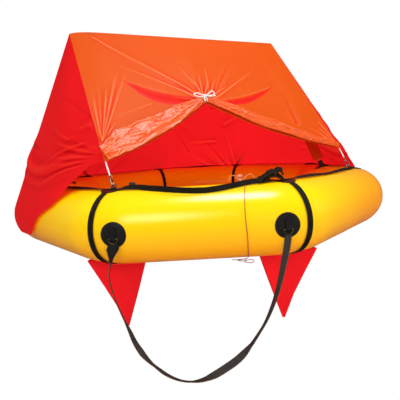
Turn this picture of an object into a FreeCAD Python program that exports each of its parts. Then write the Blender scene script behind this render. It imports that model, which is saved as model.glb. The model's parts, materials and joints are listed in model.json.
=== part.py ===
import FreeCAD, Part
import math
import os
import Sketcher
from FreeCAD import Placement, Rotation, Vector

# Inflatable liferaft, afloat: one octagonal buoyancy tube, a floor with four water
# ballast bags under it, and a fabric canopy over an arch of poles. Millimetres, +Z up,
# the door towards -Y. The origin is the raft's centre at the height of the tube's underside.

DRIVING_SIZES = (
    ("tube_apothem", 750, "raft centre to the tube's centreline, square to a side"),
    ("tube_radius", 130, "radius of the inflated tube"),
    ("corner_radius", 180, "radius of the tube's centreline at its eight corners"),
    ("glue_line", 0.2, "gap between the tube and what is glued on it"),
    ("patch_thick", 1.6, "thickness of a reinforcing patch"),
    ("patch_radius", 38, "radius of a corner patch"),
    ("floor_thick", 1.5, "thickness of the floor sheet"),
    ("floor_rim", 15, "how far the floor reaches out past the tube's centreline"),
    ("seat_gap", 0.3, "gap between separate pieces that rest on each other"),
    ("band_width", 22, "width of a girth strap"),
    ("line_width", 16, "width of the lifeline webbing"),
    ("line_thick", 1.6, "thickness of the lifeline webbing"),
    ("keeper_thick", 1.5, "thickness of the webbing keeper over the lifeline"),
    ("ridge_height", 982, "height of the canopy's ridge"),
    ("ridge_turn", 20, "turn of the ridge from the X axis, in degrees"),
    ("ridge_left", 612, "raft centre to the ridge's left end"),
    ("ridge_right", 499, "raft centre to the ridge's right end"),
    ("ridge_drop", 14, "how much lower the ridge lies at its left end"),
    ("canopy_thick", 1.4, "thickness of the canopy cloth, measured level"),
    ("canopy_lift", 10, "gap between the tube and the canopy cloth outside it"),
    ("corner_lift", 100, "how far each front canopy corner stops short of the tube"),
    ("back_reach", 195, "how far above the tube a back tie is sewn to the canopy, along its seam"),
    ("skirt_turn", 28, "how far below level the skirt ends round the tube, in degrees"),
    ("pole_radius", 7, "radius of the arch poles"),
    ("pole_fit", 0.1, "radial play of a pole in its elbow and foot"),
    ("elbow_wall", 2.5, "wall of an elbow"),
    ("elbow_bend", 40, "bend radius of an elbow's centreline"),
    ("elbow_socket", 45, "straight socket at each end of an elbow"),
    ("foot_out", 718, "raft centre to a foot socket, along X"),
    ("foot_side", 45, "offset of a foot socket along Y"),
    ("foot_height", 34, "height of a foot socket above its patch"),
    ("sleeve_width", 44, "width of the fabric sleeve round an arch leg"),
    ("sleeve_thick", 17, "thickness of the fabric sleeve round an arch leg"),
    ("hem_sag", 28, "sag of the door hem between its corner and the tie"),
    ("tie_across", 52, "place of the door tie along X"),
    ("tie_forward", 322, "place of the door tie towards the door"),
    ("tie_height", 596, "height of the door tie"),
    ("hook_wire", 2.2, "radius of a snap hook's body"),
    ("hook_bend", 6.5, "radius of a snap hook's end bends"),
    ("hook_side", 18, "straight side of a snap hook"),
    ("gate_radius", 1.8, "radius of a hook's gate"),
    ("pin_radius", 0.9, "radius of a gate's pivot pin"),
    ("pin_play", 0.05, "radial play of a gate's pivot pin"),
    ("ring_wire", 2, "radius of a D-ring's wire"),
    ("ring_bow", 13, "radius of a D-ring's bow"),
    ("cord_radius", 3, "radius of a canopy tie cord"),
    ("board_across", 277, "place of a boarding patch along X"),
    ("board_radius", 42, "radius of a boarding patch"),
    ("board_bow", 15, "radius of a boarding ring's bow"),
    ("strap_width", 25, "width of the boarding strap"),
    ("strap_thick", 2.4, "thickness of the boarding strap"),
    ("cylinder_radius", 52, "radius of the gas cylinder"),
    ("cylinder_length", 300, "length of the gas cylinder's straight wall"),
    ("cylinder_shift", 260, "offset of the gas cylinder's middle along X"),
    ("cylinder_drop", 62, "depth of the gas cylinder's axis below the floor"),
    ("sling_width", 38, "width of a cylinder sling"),
    ("sling_thick", 2, "thickness of a cylinder sling"),
)

TURN = 360.0
CORNERS = 8
SIDE_TURN = TURN / CORNERS
HALF_TURN = SIDE_TURN / 2
CORNER_NAMES = ("fl", "fr", "r1", "r2", "br", "bl", "l2", "l1")
UP = Vector(0, 0, 1)

doc = FreeCAD.newDocument("liferaft")
sheet = doc.addObject("Spreadsheet::Sheet", "sizes")
for row, (alias, value, note) in enumerate(DRIVING_SIZES, start=1):
    sheet.set("A%d" % row, note)
    sheet.set("B%d" % row, str(value))
    sheet.setAlias("B%d" % row, alias)
doc.recompute()

node_objects = []


def size(alias):
    """One driving size, as a plain number."""
    return float(sheet.get(alias))


def publish(obj, label):
    """Name a finished sub-part; its label is its file's name."""
    obj.Label = label
    node_objects.append(obj)
    return obj


def bind(obj, **formulas):
    """Tie properties of an object to the sheet. A double underscore stands for a dot."""
    for name, formula in formulas.items():
        obj.setExpression(name.replace("__", "."), formula)
    return obj


def primitive(kind, name, placement=None, **formulas):
    """A Part primitive whose sizes follow the sheet."""
    obj = doc.addObject(kind, name)
    bind(obj, **formulas)
    if placement is not None:
        obj.Placement = placement
    return obj


def shaped(name, shape, placement=None):
    """A Part::Feature that holds a shape worked out from the sheet's sizes."""
    obj = doc.addObject("Part::Feature", name)
    obj.Shape = shape
    if placement is not None:
        obj.Placement = placement
    return obj


def cut(name, base, tool):
    obj = doc.addObject("Part::Cut", name)
    obj.Base = base
    obj.Tool = tool
    return obj


def common(name, first, second):
    obj = doc.addObject("Part::MultiCommon", name)
    obj.Shapes = [first, second]
    return obj


def fuse(name, pieces):
    obj = doc.addObject("Part::MultiFuse", name)
    obj.Shapes = pieces
    return obj


def group_of(name, pieces):
    """Several separate solids of one kind, kept as one sub-part."""
    obj = doc.addObject("Part::Compound", name)
    obj.Links = pieces
    return obj


def new_body(name):
    return doc.addObject("PartDesign::Body", name)


def origin_feature(body, role):
    for item in body.Origin.OriginFeatures:
        if item.Role == role:
            return item
    raise ValueError(role)


def sketch_on(body, name, role, offset=None):
    sketch = body.newObject("Sketcher::SketchObject", name)
    sketch.AttachmentSupport = [(origin_feature(body, role), "")]
    sketch.MapMode = "FlatFace"
    if offset is not None:
        sketch.AttachmentOffset = offset
    return sketch


def sketch_circle(sketch, across, up, radius):
    """A circle whose centre and radius are driven by three formulas."""
    sketch.addGeometry(Part.Circle(Vector(-50, 50, 0), UP, 20), False)
    limits = (
        ("across", Sketcher.Constraint("DistanceX", -1, 1, 0, 3, -50), across),
        ("upward", Sketcher.Constraint("DistanceY", -1, 1, 0, 3, 50), up),
        ("radius", Sketcher.Constraint("Radius", 0, 20), radius),
    )
    for name, constraint, formula in limits:
        index = sketch.addConstraint(constraint)
        sketch.renameConstraint(index, name)
        sketch.setExpression("Constraints." + name, formula)


def direction(turn):
    """The level unit vector at an angle from +X, in degrees."""
    angle = math.radians(turn)
    return Vector(math.cos(angle), math.sin(angle), 0)


def facing(axis, across, origin):
    """A placement that turns local Z to an axis and local X as near as it can to another."""
    z_axis = Vector(axis).normalize()
    y_axis = z_axis.cross(across).normalize()
    x_axis = y_axis.cross(z_axis)
    return Placement(origin, Rotation(x_axis, y_axis, z_axis, "ZXY"))


# ---- places on the tube -------------------------------------------------------------

apothem = size("tube_apothem")
tube_radius = size("tube_radius")
corner_radius = size("corner_radius")
corner_centre = (apothem - corner_radius) / math.cos(math.radians(HALF_TURN))
straight_side = 2 * (apothem - corner_radius) * math.tan(math.radians(HALF_TURN))
corner_arc = corner_radius * math.radians(SIDE_TURN)
glued_radius = tube_radius + size("glue_line")
patch_top = glued_radius + size("patch_thick")


def corner_turn(index):
    """The direction of a corner, counted from the front left one, in degrees."""
    return -90 - HALF_TURN + SIDE_TURN * index


def ring_point(index, run):
    """The centreline point a run past a corner, and the level direction out of the tube."""
    period = straight_side + corner_arc
    index += math.floor(run / period)
    run = run % period
    turn = corner_turn(index)
    if run < corner_arc / 2:
        turn += math.degrees(run / corner_radius)
        centre = direction(corner_turn(index)) * corner_centre
        return centre + direction(turn) * corner_radius, direction(turn)
    run -= corner_arc / 2
    side = turn + HALF_TURN
    if run < straight_side:
        start = direction(corner_turn(index)) * corner_centre + direction(side) * corner_radius
        return start + direction(side + 90) * run, direction(side)
    run -= straight_side
    turn = side + math.degrees(run / corner_radius)
    centre = direction(corner_turn(index + 1)) * corner_centre
    return centre + direction(turn) * corner_radius, direction(turn)


def skin_point(point, outward, rise, radius):
    """A point round the tube's section: rise is its angle above level, in degrees."""
    angle = math.radians(rise)
    level = Vector(point.x, point.y, tube_radius)
    return level + outward * (radius * math.cos(angle)) + UP * (radius * math.sin(angle))


# ---- buoyancy tube ------------------------------------------------------------------


def tube_body(name, radius):
    """The closed octagonal tube: one side and one corner, repeated eight times."""
    body = new_body(name)
    side_sketch = sketch_on(body, name + "_side_section", "YZ_Plane")
    sketch_circle(side_sketch, "-sizes.tube_apothem", "sizes.tube_radius", radius)
    side = body.newObject("PartDesign::Pad", name + "_side")
    side.Profile = side_sketch
    side.Midplane = True
    bind(side, Length="2 * (sizes.tube_apothem - sizes.corner_radius) * tan(22.5 deg)")
    corner_sketch = sketch_on(body, name + "_corner_section", "YZ_Plane")
    bind(
        corner_sketch,
        AttachmentOffset__Base__x="-(sizes.tube_apothem - sizes.corner_radius)",
        AttachmentOffset__Base__z="(sizes.tube_apothem - sizes.corner_radius) * tan(22.5 deg)",
    )
    sketch_circle(corner_sketch, "-sizes.corner_radius", "sizes.tube_radius", radius)
    corner = body.newObject("PartDesign::Revolution", name + "_corner")
    corner.Profile = corner_sketch
    corner.ReferenceAxis = (corner_sketch, ["V_Axis"])
    corner.Angle = SIDE_TURN
    doc.recompute()
    ring = body.newObject("PartDesign::PolarPattern", name + "_ring")
    ring.Originals = [side, corner]
    ring.Axis = (origin_feature(body, "Z_Axis"), [""])
    ring.Angle = TURN
    ring.Occurrences = CORNERS
    body.Tip = ring
    return body


tube = publish(tube_body("tube", "sizes.tube_radius"), "buoyancy_tube")
glue_body = tube_body("glue_line_body", "sizes.tube_radius + sizes.glue_line")
patch_body = tube_body(
    "patch_skin_body", "sizes.tube_radius + sizes.glue_line + sizes.patch_thick"
)
patch_layer = cut("patch_layer", patch_body, glue_body)

# ---- floor and ballast bags ---------------------------------------------------------

floor = new_body("floor_body")
floor_prism = floor.newObject("PartDesign::AdditivePrism", "floor_prism")
floor_prism.Polygon = CORNERS
bind(
    floor_prism,
    Circumradius="(sizes.tube_apothem + sizes.floor_rim) / cos(22.5 deg)",
    Height="sizes.floor_thick",
)
floor.Placement = Placement(Vector(0, 0, -size("floor_thick")), Rotation(UP, HALF_TURN))
publish(floor, "floor_sheet")

BAG_TOP = ((-428, -705), (-205, -748), (-212, -608), (-398, -585))
BAG_WAIST = ((-338, -706), (-262, -716), (-264, -668), (-330, -655))
BAG_TIP = ((-306, -694), (-296, -696), (-296, -686), (-305, -684))
BAG_WAIST_DEPTH = 175
BAG_DEPTH = 272
BAG_WALL = 1.2
BAG_PORT_RADIUS = 20
BAG_PORT_DEPTH = 32


def ring_of(points, height, side):
    """A closed outline at one height, mirrored for the right side."""
    corners = [Vector(x * side, y, height) for x, y in points]
    return Part.makePolygon(corners + corners[:1])


def shrunk(points, wall):
    """An outline drawn in towards its middle by about a wall."""
    middle_x = sum(x for x, y in points) / len(points)
    middle_y = sum(y for x, y in points) / len(points)
    inner = []
    for x, y in points:
        reach = math.hypot(x - middle_x, y - middle_y)
        share = max(0.05, 1 - 1.5 * wall / reach)
        inner.append((middle_x + (x - middle_x) * share, middle_y + (y - middle_y) * share))
    return inner


def bag_shape(side):
    """A pointed fabric bag, open at its top under the floor, with a flooding port."""
    top = -size("floor_thick") - size("seat_gap")
    levels = ((BAG_TOP, top), (BAG_WAIST, -BAG_WAIST_DEPTH), (BAG_TIP, -BAG_DEPTH))
    outer = Part.makeLoft([ring_of(points, z, side) for points, z in levels], True, True)
    inner_levels = (
        (shrunk(BAG_TOP, BAG_WALL), top + 1),
        (shrunk(BAG_WAIST, BAG_WALL), -BAG_WAIST_DEPTH),
        (shrunk(BAG_TIP, BAG_WALL), -BAG_DEPTH + 3 * BAG_WALL),
    )
    inner = Part.makeLoft([ring_of(points, z, side) for points, z in inner_levels], True, True)
    middle = Vector(side * -300, -640, -BAG_PORT_DEPTH)
    port = Part.makeCylinder(BAG_PORT_RADIUS, 120, middle, Vector(0, 1, 0))
    return outer.cut(inner).cut(port)


for name, side, turn in (("fl", 1, 0), ("fr", -1, 0), ("br", 1, 180), ("bl", -1, 180)):
    bag = shaped("bag_" + name, bag_shape(side), Placement(Vector(), Rotation(UP, turn)))
    publish(bag, "ballast_bag_" + name)

# ---- patches, keepers, girth straps -------------------------------------------------


def upright_cutter(name, index, radius):
    """A tall cylinder over a corner's top, to cut a round patch out of the skin layer."""
    point, outward = ring_point(index, 0)
    base = Vector(point.x, point.y, tube_radius)
    return primitive(
        "Part::Cylinder", name, Placement(base, Rotation()),
        Radius=radius, Height="sizes.tube_radius * 2",
    )


line_height = tube_radius + patch_top + size("seat_gap")
half_line = size("line_width") / 2
TIE_CORNERS = (0, 2, 4, 6)
KEEPER_CORNERS = (1, 3, 5, 7)
GIRTH_CORNERS = (0, 1, 4, 5)
TAB_LENGTH = 18
TAB_WALL = 1.5
TAB_CLEAR = 0.4
KEEPER_PLAY = 1.5
KEEPER_SINK = 6
tab_bore = size("ring_wire") + size("seat_gap")
ring_offset = -(half_line + tab_bore + TAB_WALL + KEEPER_PLAY)


def tab_axis_height():
    """Height of a D-ring's bar in its tab over the patch."""
    return tube_radius + patch_top + tab_bore + TAB_CLEAR


def tie_patch(index):
    """A round patch with a sewn tab whose bore holds the D-ring's bar."""
    tag = CORNER_NAMES[index]
    patch = common(
        "patch_" + tag, patch_layer, upright_cutter("cutter_" + tag, index, "sizes.patch_radius")
    )
    point, outward = ring_point(index, 0)
    along = outward.cross(UP)
    height = tab_axis_height()
    centre = Vector(point.x, point.y, height) + outward * ring_offset
    end = centre - along * (TAB_LENGTH / 2)
    barrel = Part.makeCylinder(tab_bore + TAB_WALL, TAB_LENGTH, end, along)
    deep = height - tube_radius - glued_radius
    foot = Part.makeBox(2 * (tab_bore + TAB_WALL), TAB_LENGTH, deep)
    foot.translate(Vector(-tab_bore - TAB_WALL, -TAB_LENGTH / 2, -deep))
    turned = Placement(centre, Rotation(Vector(1, 0, 0), outward))
    foot.Placement = turned.multiply(foot.Placement)
    hole = Part.makeCylinder(tab_bore, TAB_LENGTH + 2, end - along, along)
    tab = shaped("tab_" + tag, barrel.fuse(foot).cut(hole))
    under = cut("tab_seated_" + tag, tab, glue_body)
    return fuse("tie_patch_" + tag, [patch, under])


def keeper_patch(index):
    """A round patch with a webbing keeper that bridges the lifeline."""
    tag = CORNER_NAMES[index]
    patch = common(
        "patch_" + tag, patch_layer, upright_cutter("cutter_" + tag, index, "sizes.patch_radius")
    )
    point, outward = ring_point(index, 0)
    inside = half_line + KEEPER_PLAY
    under = line_height + size("line_thick") + size("seat_gap")
    outside = inside + size("keeper_thick")
    bottom = tube_radius + glued_radius - KEEPER_SINK
    half_long = TAB_LENGTH / 2
    block = Part.makeBox(
        2 * outside, TAB_LENGTH, under + size("keeper_thick") - bottom,
        Vector(-outside, -half_long, bottom),
    )
    way = Part.makeBox(
        2 * inside, TAB_LENGTH + 2, under - bottom + 1, Vector(-inside, -half_long - 1, bottom - 1)
    )
    bridge = block.cut(way)
    bridge.Placement = Placement(Vector(point.x, point.y, 0), Rotation(Vector(1, 0, 0), outward))
    keeper = shaped("keeper_" + tag, bridge)
    seated = cut("keeper_seated_" + tag, keeper, glue_body)
    return fuse("keeper_patch_" + tag, [patch, seated])


publish(group_of("tie_patches", [tie_patch(index) for index in TIE_CORNERS]), "tie_patches")
publish(
    group_of("keeper_patches", [keeper_patch(index) for index in KEEPER_CORNERS]), "keeper_patches"
)


def girth_strap(index):
    """A webbing strap right round the tube at a corner, stopping at the patch's edge."""
    tag = CORNER_NAMES[index]
    point, outward = ring_point(index, 0)
    corner = Vector(point.x, point.y, -tube_radius) - outward * (2 * tube_radius)
    corner = corner - UP.cross(outward) * (size("band_width") / 2)
    slab = primitive(
        "Part::Box", "girth_slab_" + tag, Placement(corner, Rotation(Vector(1, 0, 0), outward)),
        Length="sizes.tube_radius * 4", Width="sizes.band_width", Height="sizes.tube_radius * 4",
    )
    band = common("girth_band_" + tag, patch_layer, slab)
    gap = upright_cutter("girth_gap_" + tag, index, "sizes.patch_radius + sizes.seat_gap")
    above = cut("girth_above_" + tag, band, gap)
    floor_plate = primitive(
        "Part::Box", "floor_gap_" + tag,
        Placement(Vector(-2 * apothem, -2 * apothem, -2 * size("floor_thick")), Rotation()),
        Length="sizes.tube_apothem * 4", Width="sizes.tube_apothem * 4",
        Height="2 * sizes.floor_thick + sizes.seat_gap",
    )
    return cut("girth_" + tag, above, floor_plate)


publish(group_of("girth_straps", [girth_strap(index) for index in GIRTH_CORNERS]), "girth_straps")

# ---- lifeline -----------------------------------------------------------------------


def line_outline(offset):
    """The lifeline's inner or outer edge: the tube's centreline moved out or in."""
    edges = []
    radius = corner_radius + offset
    for index in range(CORNERS):
        centre = direction(corner_turn(index)) * corner_centre
        start = centre + direction(corner_turn(index) - HALF_TURN) * radius
        middle = centre + direction(corner_turn(index)) * radius
        end = centre + direction(corner_turn(index) + HALF_TURN) * radius
        edges.append(Part.Arc(start, middle, end).toShape())
        following = direction(corner_turn(index + 1)) * corner_centre
        after = following + direction(corner_turn(index) + HALF_TURN) * radius
        edges.append(Part.LineSegment(end, after).toShape())
    return Part.Wire(edges)


line_face = Part.Face(line_outline(half_line)).cut(Part.Face(line_outline(-half_line)))
lifeline_shape = line_face.extrude(UP * size("line_thick"))
lifeline_shape.translate(UP * line_height)
publish(shaped("lifeline_band", lifeline_shape), "lifeline")

BUCKLE_LENGTH = 34
BUCKLE_WIDTH = 28
BUCKLE_THICK = 4
BUCKLE_SLOT = 7
BUCKLE_FRAME = 5
BUCKLE_RUN = -75
buckle_point, buckle_out = ring_point(1, BUCKLE_RUN)
buckle_height = line_height + size("line_thick") + size("seat_gap")
buckle = new_body("buckle_body")
buckle_block = buckle.newObject("PartDesign::AdditiveBox", "buckle_block")
buckle_block.Length = BUCKLE_LENGTH
buckle_block.Width = BUCKLE_WIDTH
buckle_block.Height = BUCKLE_THICK
for number, start in enumerate((BUCKLE_FRAME, BUCKLE_LENGTH - BUCKLE_FRAME - BUCKLE_SLOT)):
    slot = buckle.newObject("PartDesign::SubtractiveBox", "buckle_slot_%d" % number)
    slot.AttachmentSupport = [(origin_feature(buckle, "XY_Plane"), "")]
    slot.MapMode = "FlatFace"
    slot.AttachmentOffset = Placement(Vector(start, BUCKLE_FRAME, 0), Rotation())
    slot.Length = BUCKLE_SLOT
    slot.Width = BUCKLE_WIDTH - 2 * BUCKLE_FRAME
    slot.Height = BUCKLE_THICK
buckle_along = UP.cross(buckle_out)
buckle.Placement = Placement(
    Vector(buckle_point.x, buckle_point.y, buckle_height)
    - buckle_along * (BUCKLE_LENGTH / 2) + buckle_out * (BUCKLE_WIDTH / 2),
    Rotation(Vector(1, 0, 0), buckle_along),
)
publish(buckle, "lifeline_buckle")

# ---- canopy -------------------------------------------------------------------------

ridge_way = direction(size("ridge_turn"))
ridge_side = UP.cross(ridge_way)
ridge_height = size("ridge_height")

PANEL_ROWS = (0, 0.15, 0.3, 0.45, 0.6, 0.72, 0.8, 0.86, 0.91, 0.955, 1)
PANEL_COLUMNS = 16
SPREAD_END = 0.24
DROP_START = 0.2
DROP_END = 0.39
BACK_TANGENT = 38
FOLD_DEPTH = 7


def eased(share):
    """A smooth step from 0 to 1."""
    share = min(1, max(0, share))
    return share * share * (3 - 2 * share)


def ridge_point(share):
    """A point of the ridge, from its left end, where it is chamfered, to its right end."""
    along = -size("ridge_left") + share * (size("ridge_left") + size("ridge_right"))
    return ridge_way * along + UP * (ridge_height - size("ridge_drop") * (1 - share) ** 26)


def hung_ruling(top, point, outward, nearness):
    """One line of a canopy panel, from the ridge down to its hem.

    It runs straight to a point of the tube's skin and then on round the tube. Near a
    front corner, where nearness is small, it aims at the tube's top and stops short of it.
    """
    radius = tube_radius + size("canopy_lift")
    along = UP.cross(outward)
    level = Vector(point.x, point.y, tube_radius)
    start = top - level
    out, rise, aside = start.dot(outward), start.z, start.dot(along)
    reach = math.hypot(out, rise)
    tangent = math.atan2(rise, out) - math.acos(radius / reach)
    spread = eased(nearness / SPREAD_END)
    aim = tangent + (math.pi / 2 - tangent) * (1 - spread)
    aim_out, aim_rise = radius * math.cos(aim), radius * math.sin(aim)
    straight = math.hypot(aim_out - out, aim_rise - rise)
    skirt = radius * (tangent + math.radians(size("skirt_turn")))
    hem = skirt * eased((nearness - DROP_START) / (DROP_END - DROP_START))
    hem -= size("corner_lift") * (1 - eased(nearness / DROP_START))
    total = straight + hem
    points = []
    for share in PANEL_ROWS:
        run = share * total
        if run <= straight:
            part = run / straight
            here_out = out + (aim_out - out) * part
            here_rise = rise + (aim_rise - rise) * part
            here_aside = aside * (1 - part)
        else:
            angle = aim - (run - straight) / radius
            here_out, here_rise, here_aside = (
                radius * math.cos(angle), radius * math.sin(angle), 0,
            )
        points.append(level + outward * here_out + UP * here_rise + along * here_aside)
    return points


def cloth(rows, thickness):
    """A closed solid: a smooth surface through a grid of points, given a thickness."""
    surface = Part.BSplineSurface()
    surface.interpolate(rows)
    return surface.toShape().extrude(thickness)


def hung_panel(first_corner, top_of, outward, folds, nearness_of):
    """A panel that hangs outside the tube over two of its sides."""
    period = straight_side + corner_arc
    rows = []
    for column in range(PANEL_COLUMNS + 1):
        place = column / PANEL_COLUMNS
        point, out = ring_point(first_corner, 2 * period * place)
        ruling = hung_ruling(top_of(place), point, out, nearness_of(place))
        for row, share in enumerate(PANEL_ROWS):
            ruling[row] = ruling[row] + outward * folds(place, share)
        rows.append(ruling)
    return cloth(rows, outward * size("canopy_thick"))


def shallow_folds(place, share, count):
    """Folds from the ridge down, dying out at the panel's edges and over the tube."""
    fade = eased(share / 0.3) * eased((0.85 - share) / 0.3)
    edge = eased(place / 0.12) * eased((1 - place) / 0.12)
    return FOLD_DEPTH * fade * edge * math.sin(place * count * math.pi)


def gable_folds(place, share):
    return shallow_folds(place, share, 5)


def back_folds(place, share):
    return shallow_folds(place, share, 7)


APEX_WIDTH = 2
APEX_CLEAR = 1.5


def left_apex(place):
    return ridge_point(0) + ridge_side * (APEX_WIDTH * (0.5 - place)) - ridge_way * APEX_CLEAR


def right_apex(place):
    return ridge_point(1) + ridge_side * (APEX_WIDTH * (place - 0.5)) + ridge_way * APEX_CLEAR


def back_top(place):
    return ridge_point(1 - place)


def tied_first(place):
    return place


def tied_last(place):
    return 1 - place


def tied_nowhere(place):
    return 1


PANELS = (
    ("canopy_gable_left", 6, left_apex, -ridge_way, gable_folds, tied_last),
    ("canopy_gable_right", 2, right_apex, ridge_way, gable_folds, tied_first),
    ("canopy_back", 4, back_top, ridge_side, back_folds, tied_nowhere),
)
for label, *panel in PANELS:
    publish(shaped(label + "_cloth", hung_panel(*panel)), label)


def corner_end(index, share):
    """The tied front corner of a canopy panel, above a corner of the tube."""
    point, out = ring_point(index, 0)
    return hung_ruling(ridge_point(share), point, out, 0)[-1]


def back_tie_end(index, share):
    """Where a back tie is sewn to the inside of the canopy's seam above a corner of the tube."""
    point, out = ring_point(index, 0)
    top = ridge_point(share)
    foot = skin_point(point, out, BACK_TANGENT, tube_radius + size("canopy_lift"))
    return foot + (top - foot).normalize() * size("back_reach")


door_left = corner_end(0, 0)
door_right = corner_end(2, 1)
door_tie_point = Vector(size("tie_across"), -size("tie_forward"), size("tie_height"))
TIE_PLACE = 0.5


def hem_point(place):
    """The door hem: from each corner up to the tie, sagging between."""
    if place < TIE_PLACE:
        start, share = door_left, place / TIE_PLACE
    else:
        start, share = door_right, (1 - place) / (1 - TIE_PLACE)
    line = start + (door_tie_point - start) * share
    return line - UP * (size("hem_sag") * 4 * share * (1 - share))


BELLY_DEPTH = 16
PLEAT_DEPTH = 14


def front_folds(place, share):
    """The cloth bellies out above the tie and is drawn in again at the hem."""
    edge = eased(place / 0.2) * eased((1 - place) / 0.2)
    belly = math.sin(math.pi * share) ** 2
    pleats = math.sin(place * 11 * math.pi) * eased((share - 0.35) / 0.4) * (1 - share)
    return edge * (BELLY_DEPTH * belly + PLEAT_DEPTH * pleats)


FRONT_ROWS = (0, 0.12, 0.24, 0.36, 0.48, 0.6, 0.7, 0.8, 0.9, 1)
front_rows = []
for column in range(2 * PANEL_COLUMNS + 1):
    place = column / (2 * PANEL_COLUMNS)
    top, hem = ridge_point(place), hem_point(place)
    front_rows.append([
        top + (hem - top) * share - ridge_side * front_folds(place, share)
        for share in FRONT_ROWS
    ])
front_cloth = cloth(front_rows, -ridge_side * size("canopy_thick"))
publish(shaped("canopy_front_cloth", front_cloth), "canopy_front")

# The door flap, folded up along the hem and gathered at the tie.
ROLL_PLACES = (0.02, 0.1, 0.2, 0.3, 0.4, 0.47, 0.53, 0.6, 0.7, 0.8, 0.9, 0.98)
ROLL_WIDTHS = (70, 112, 112, 96, 74, 46, 44, 58, 62, 54, 42, 26)
ROLL_THICK = 16
ROLL_CLEAR = 4.2


ROLL_SINK = 4


def roll_foot(place):
    """How far the rolled flap's inner side stands off the straight line of the panel."""
    return ROLL_CLEAR + 1.05 * front_folds(place, 0.8)


def hem_frame(place):
    """At a place of the hem: the point, the way along it, up the panel and out of it."""
    hem = hem_point(place)
    rise = (ridge_point(place) - hem).normalize()
    ahead = (hem_point(place + 0.01) - hem_point(place - 0.01)).normalize()
    outward = ahead.cross(rise).normalize()
    if outward.dot(ridge_side) > 0:
        outward = outward * -1
    rise = outward.cross(ahead).normalize()
    if rise.z < 0:
        rise = rise * -1
    return hem, ahead, rise, outward


def roll_section(place, width):
    """A flat oval across the rolled flap, standing just outside the front panel."""
    hem, ahead, rise, outward = hem_frame(place)
    middle = hem + rise * (width / 2 - ROLL_SINK) + outward * (roll_foot(place) + ROLL_THICK / 2)
    oval = Part.Ellipse(Vector(), width / 2, ROLL_THICK / 2).toShape()
    oval.Placement = facing(ahead, rise, middle)
    return Part.Wire(oval)


roll = Part.makeLoft([roll_section(*pair) for pair in zip(ROLL_PLACES, ROLL_WIDTHS)], True, False)
publish(shaped("door_flap_cloth", roll), "door_flap_roll")

# ---- arch of poles ------------------------------------------------------------------

pole_radius = size("pole_radius")
elbow_radius = pole_radius + size("pole_fit") + size("elbow_wall")
RIDGE_SPREAD = 1.57
RIDGE_FALL = 3.4
pole_height = ridge_height - elbow_radius * RIDGE_SPREAD - RIDGE_FALL - size("seat_gap")
LEFT_INSET = 52
RIGHT_INSET = 34
RIGHT_RAISE = 1
FOOT_SEAT = 4


def foot_point(side):
    """Where a leg's line meets the top of its patch, on the inner side of the tube's top."""
    inward = apothem - size("foot_out")
    rise = math.sqrt(patch_top ** 2 - inward ** 2)
    return Vector(side * size("foot_out"), side * size("foot_side"), tube_radius + rise)


def arch_corner(side):
    """Where the ridge pole's and a leg's centrelines meet."""
    if side > 0:
        return ridge_way * (size("ridge_right") - RIGHT_INSET) + UP * (pole_height + RIGHT_RAISE)
    return ridge_way * (LEFT_INSET - size("ridge_left")) + UP * pole_height


def pole_way(side):
    """The ridge pole's direction, away from the arch corner on one side."""
    return (arch_corner(-side) - arch_corner(side)).normalize()


def bent_tube(start, corner, end, bend, radius):
    """A round bar along two straight runs joined by a tangent arc."""
    first = (start - corner).normalize()
    second = (end - corner).normalize()
    half = first.getAngle(second) / 2
    back = bend / math.tan(half)
    middle_way = (first + second).normalize()
    centre = corner + middle_way * (bend / math.sin(half))
    arc = Part.Arc(corner + first * back, centre - middle_way * bend, corner + second * back)
    edges = [
        Part.LineSegment(start, corner + first * back).toShape(),
        arc.toShape(),
        Part.LineSegment(corner + second * back, end).toShape(),
    ]
    path = Part.Wire(edges)
    section = Part.Wire(Part.makeCircle(radius, start, first * -1))
    return path.makePipeShell([section], True, False)


def elbow_shape(side):
    """A bent socket over the ends of the ridge pole and a leg."""
    corner = arch_corner(side)
    along = pole_way(side)
    down = (foot_point(side) - corner).normalize()
    half = along.getAngle(down) / 2
    back = size("elbow_bend") / math.tan(half)
    start = corner + along * (back + size("elbow_socket"))
    end = corner + down * (back + size("elbow_socket"))
    outer = bent_tube(start, corner, end, size("elbow_bend"), elbow_radius)
    longer_start = start + along
    longer_end = end + down
    bore_radius = pole_radius + size("pole_fit")
    bore = bent_tube(longer_start, corner, longer_end, size("elbow_bend"), bore_radius)
    return outer.cut(bore)


def socket_bottom(side, way):
    """Where a pole's end stops inside its elbow."""
    corner = arch_corner(side)
    half = pole_way(side).getAngle((foot_point(side) - corner).normalize()) / 2
    return corner + way * (size("elbow_bend") / math.tan(half) + 2)


def pole(label, start, end):
    """A straight pole between two points."""
    length = (end - start).Length
    rod = primitive(
        "Part::Cylinder", label + "_rod", facing(end - start, Vector(0.3, 0.8, 0.1), start),
        Radius="sizes.pole_radius",
    )
    rod.Height = length
    return publish(rod, label)


pole("ridge_pole", socket_bottom(-1, pole_way(-1)), socket_bottom(1, pole_way(1)))
for label, side in (("left", -1), ("right", 1)):
    publish(shaped("elbow_cast_" + label, elbow_shape(side)), "arch_elbow_" + label)
    foot = foot_point(side)
    down = (foot - arch_corner(side)).normalize()
    pole("arch_leg_" + label, socket_bottom(side, down), foot - down * FOOT_SEAT)


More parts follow.
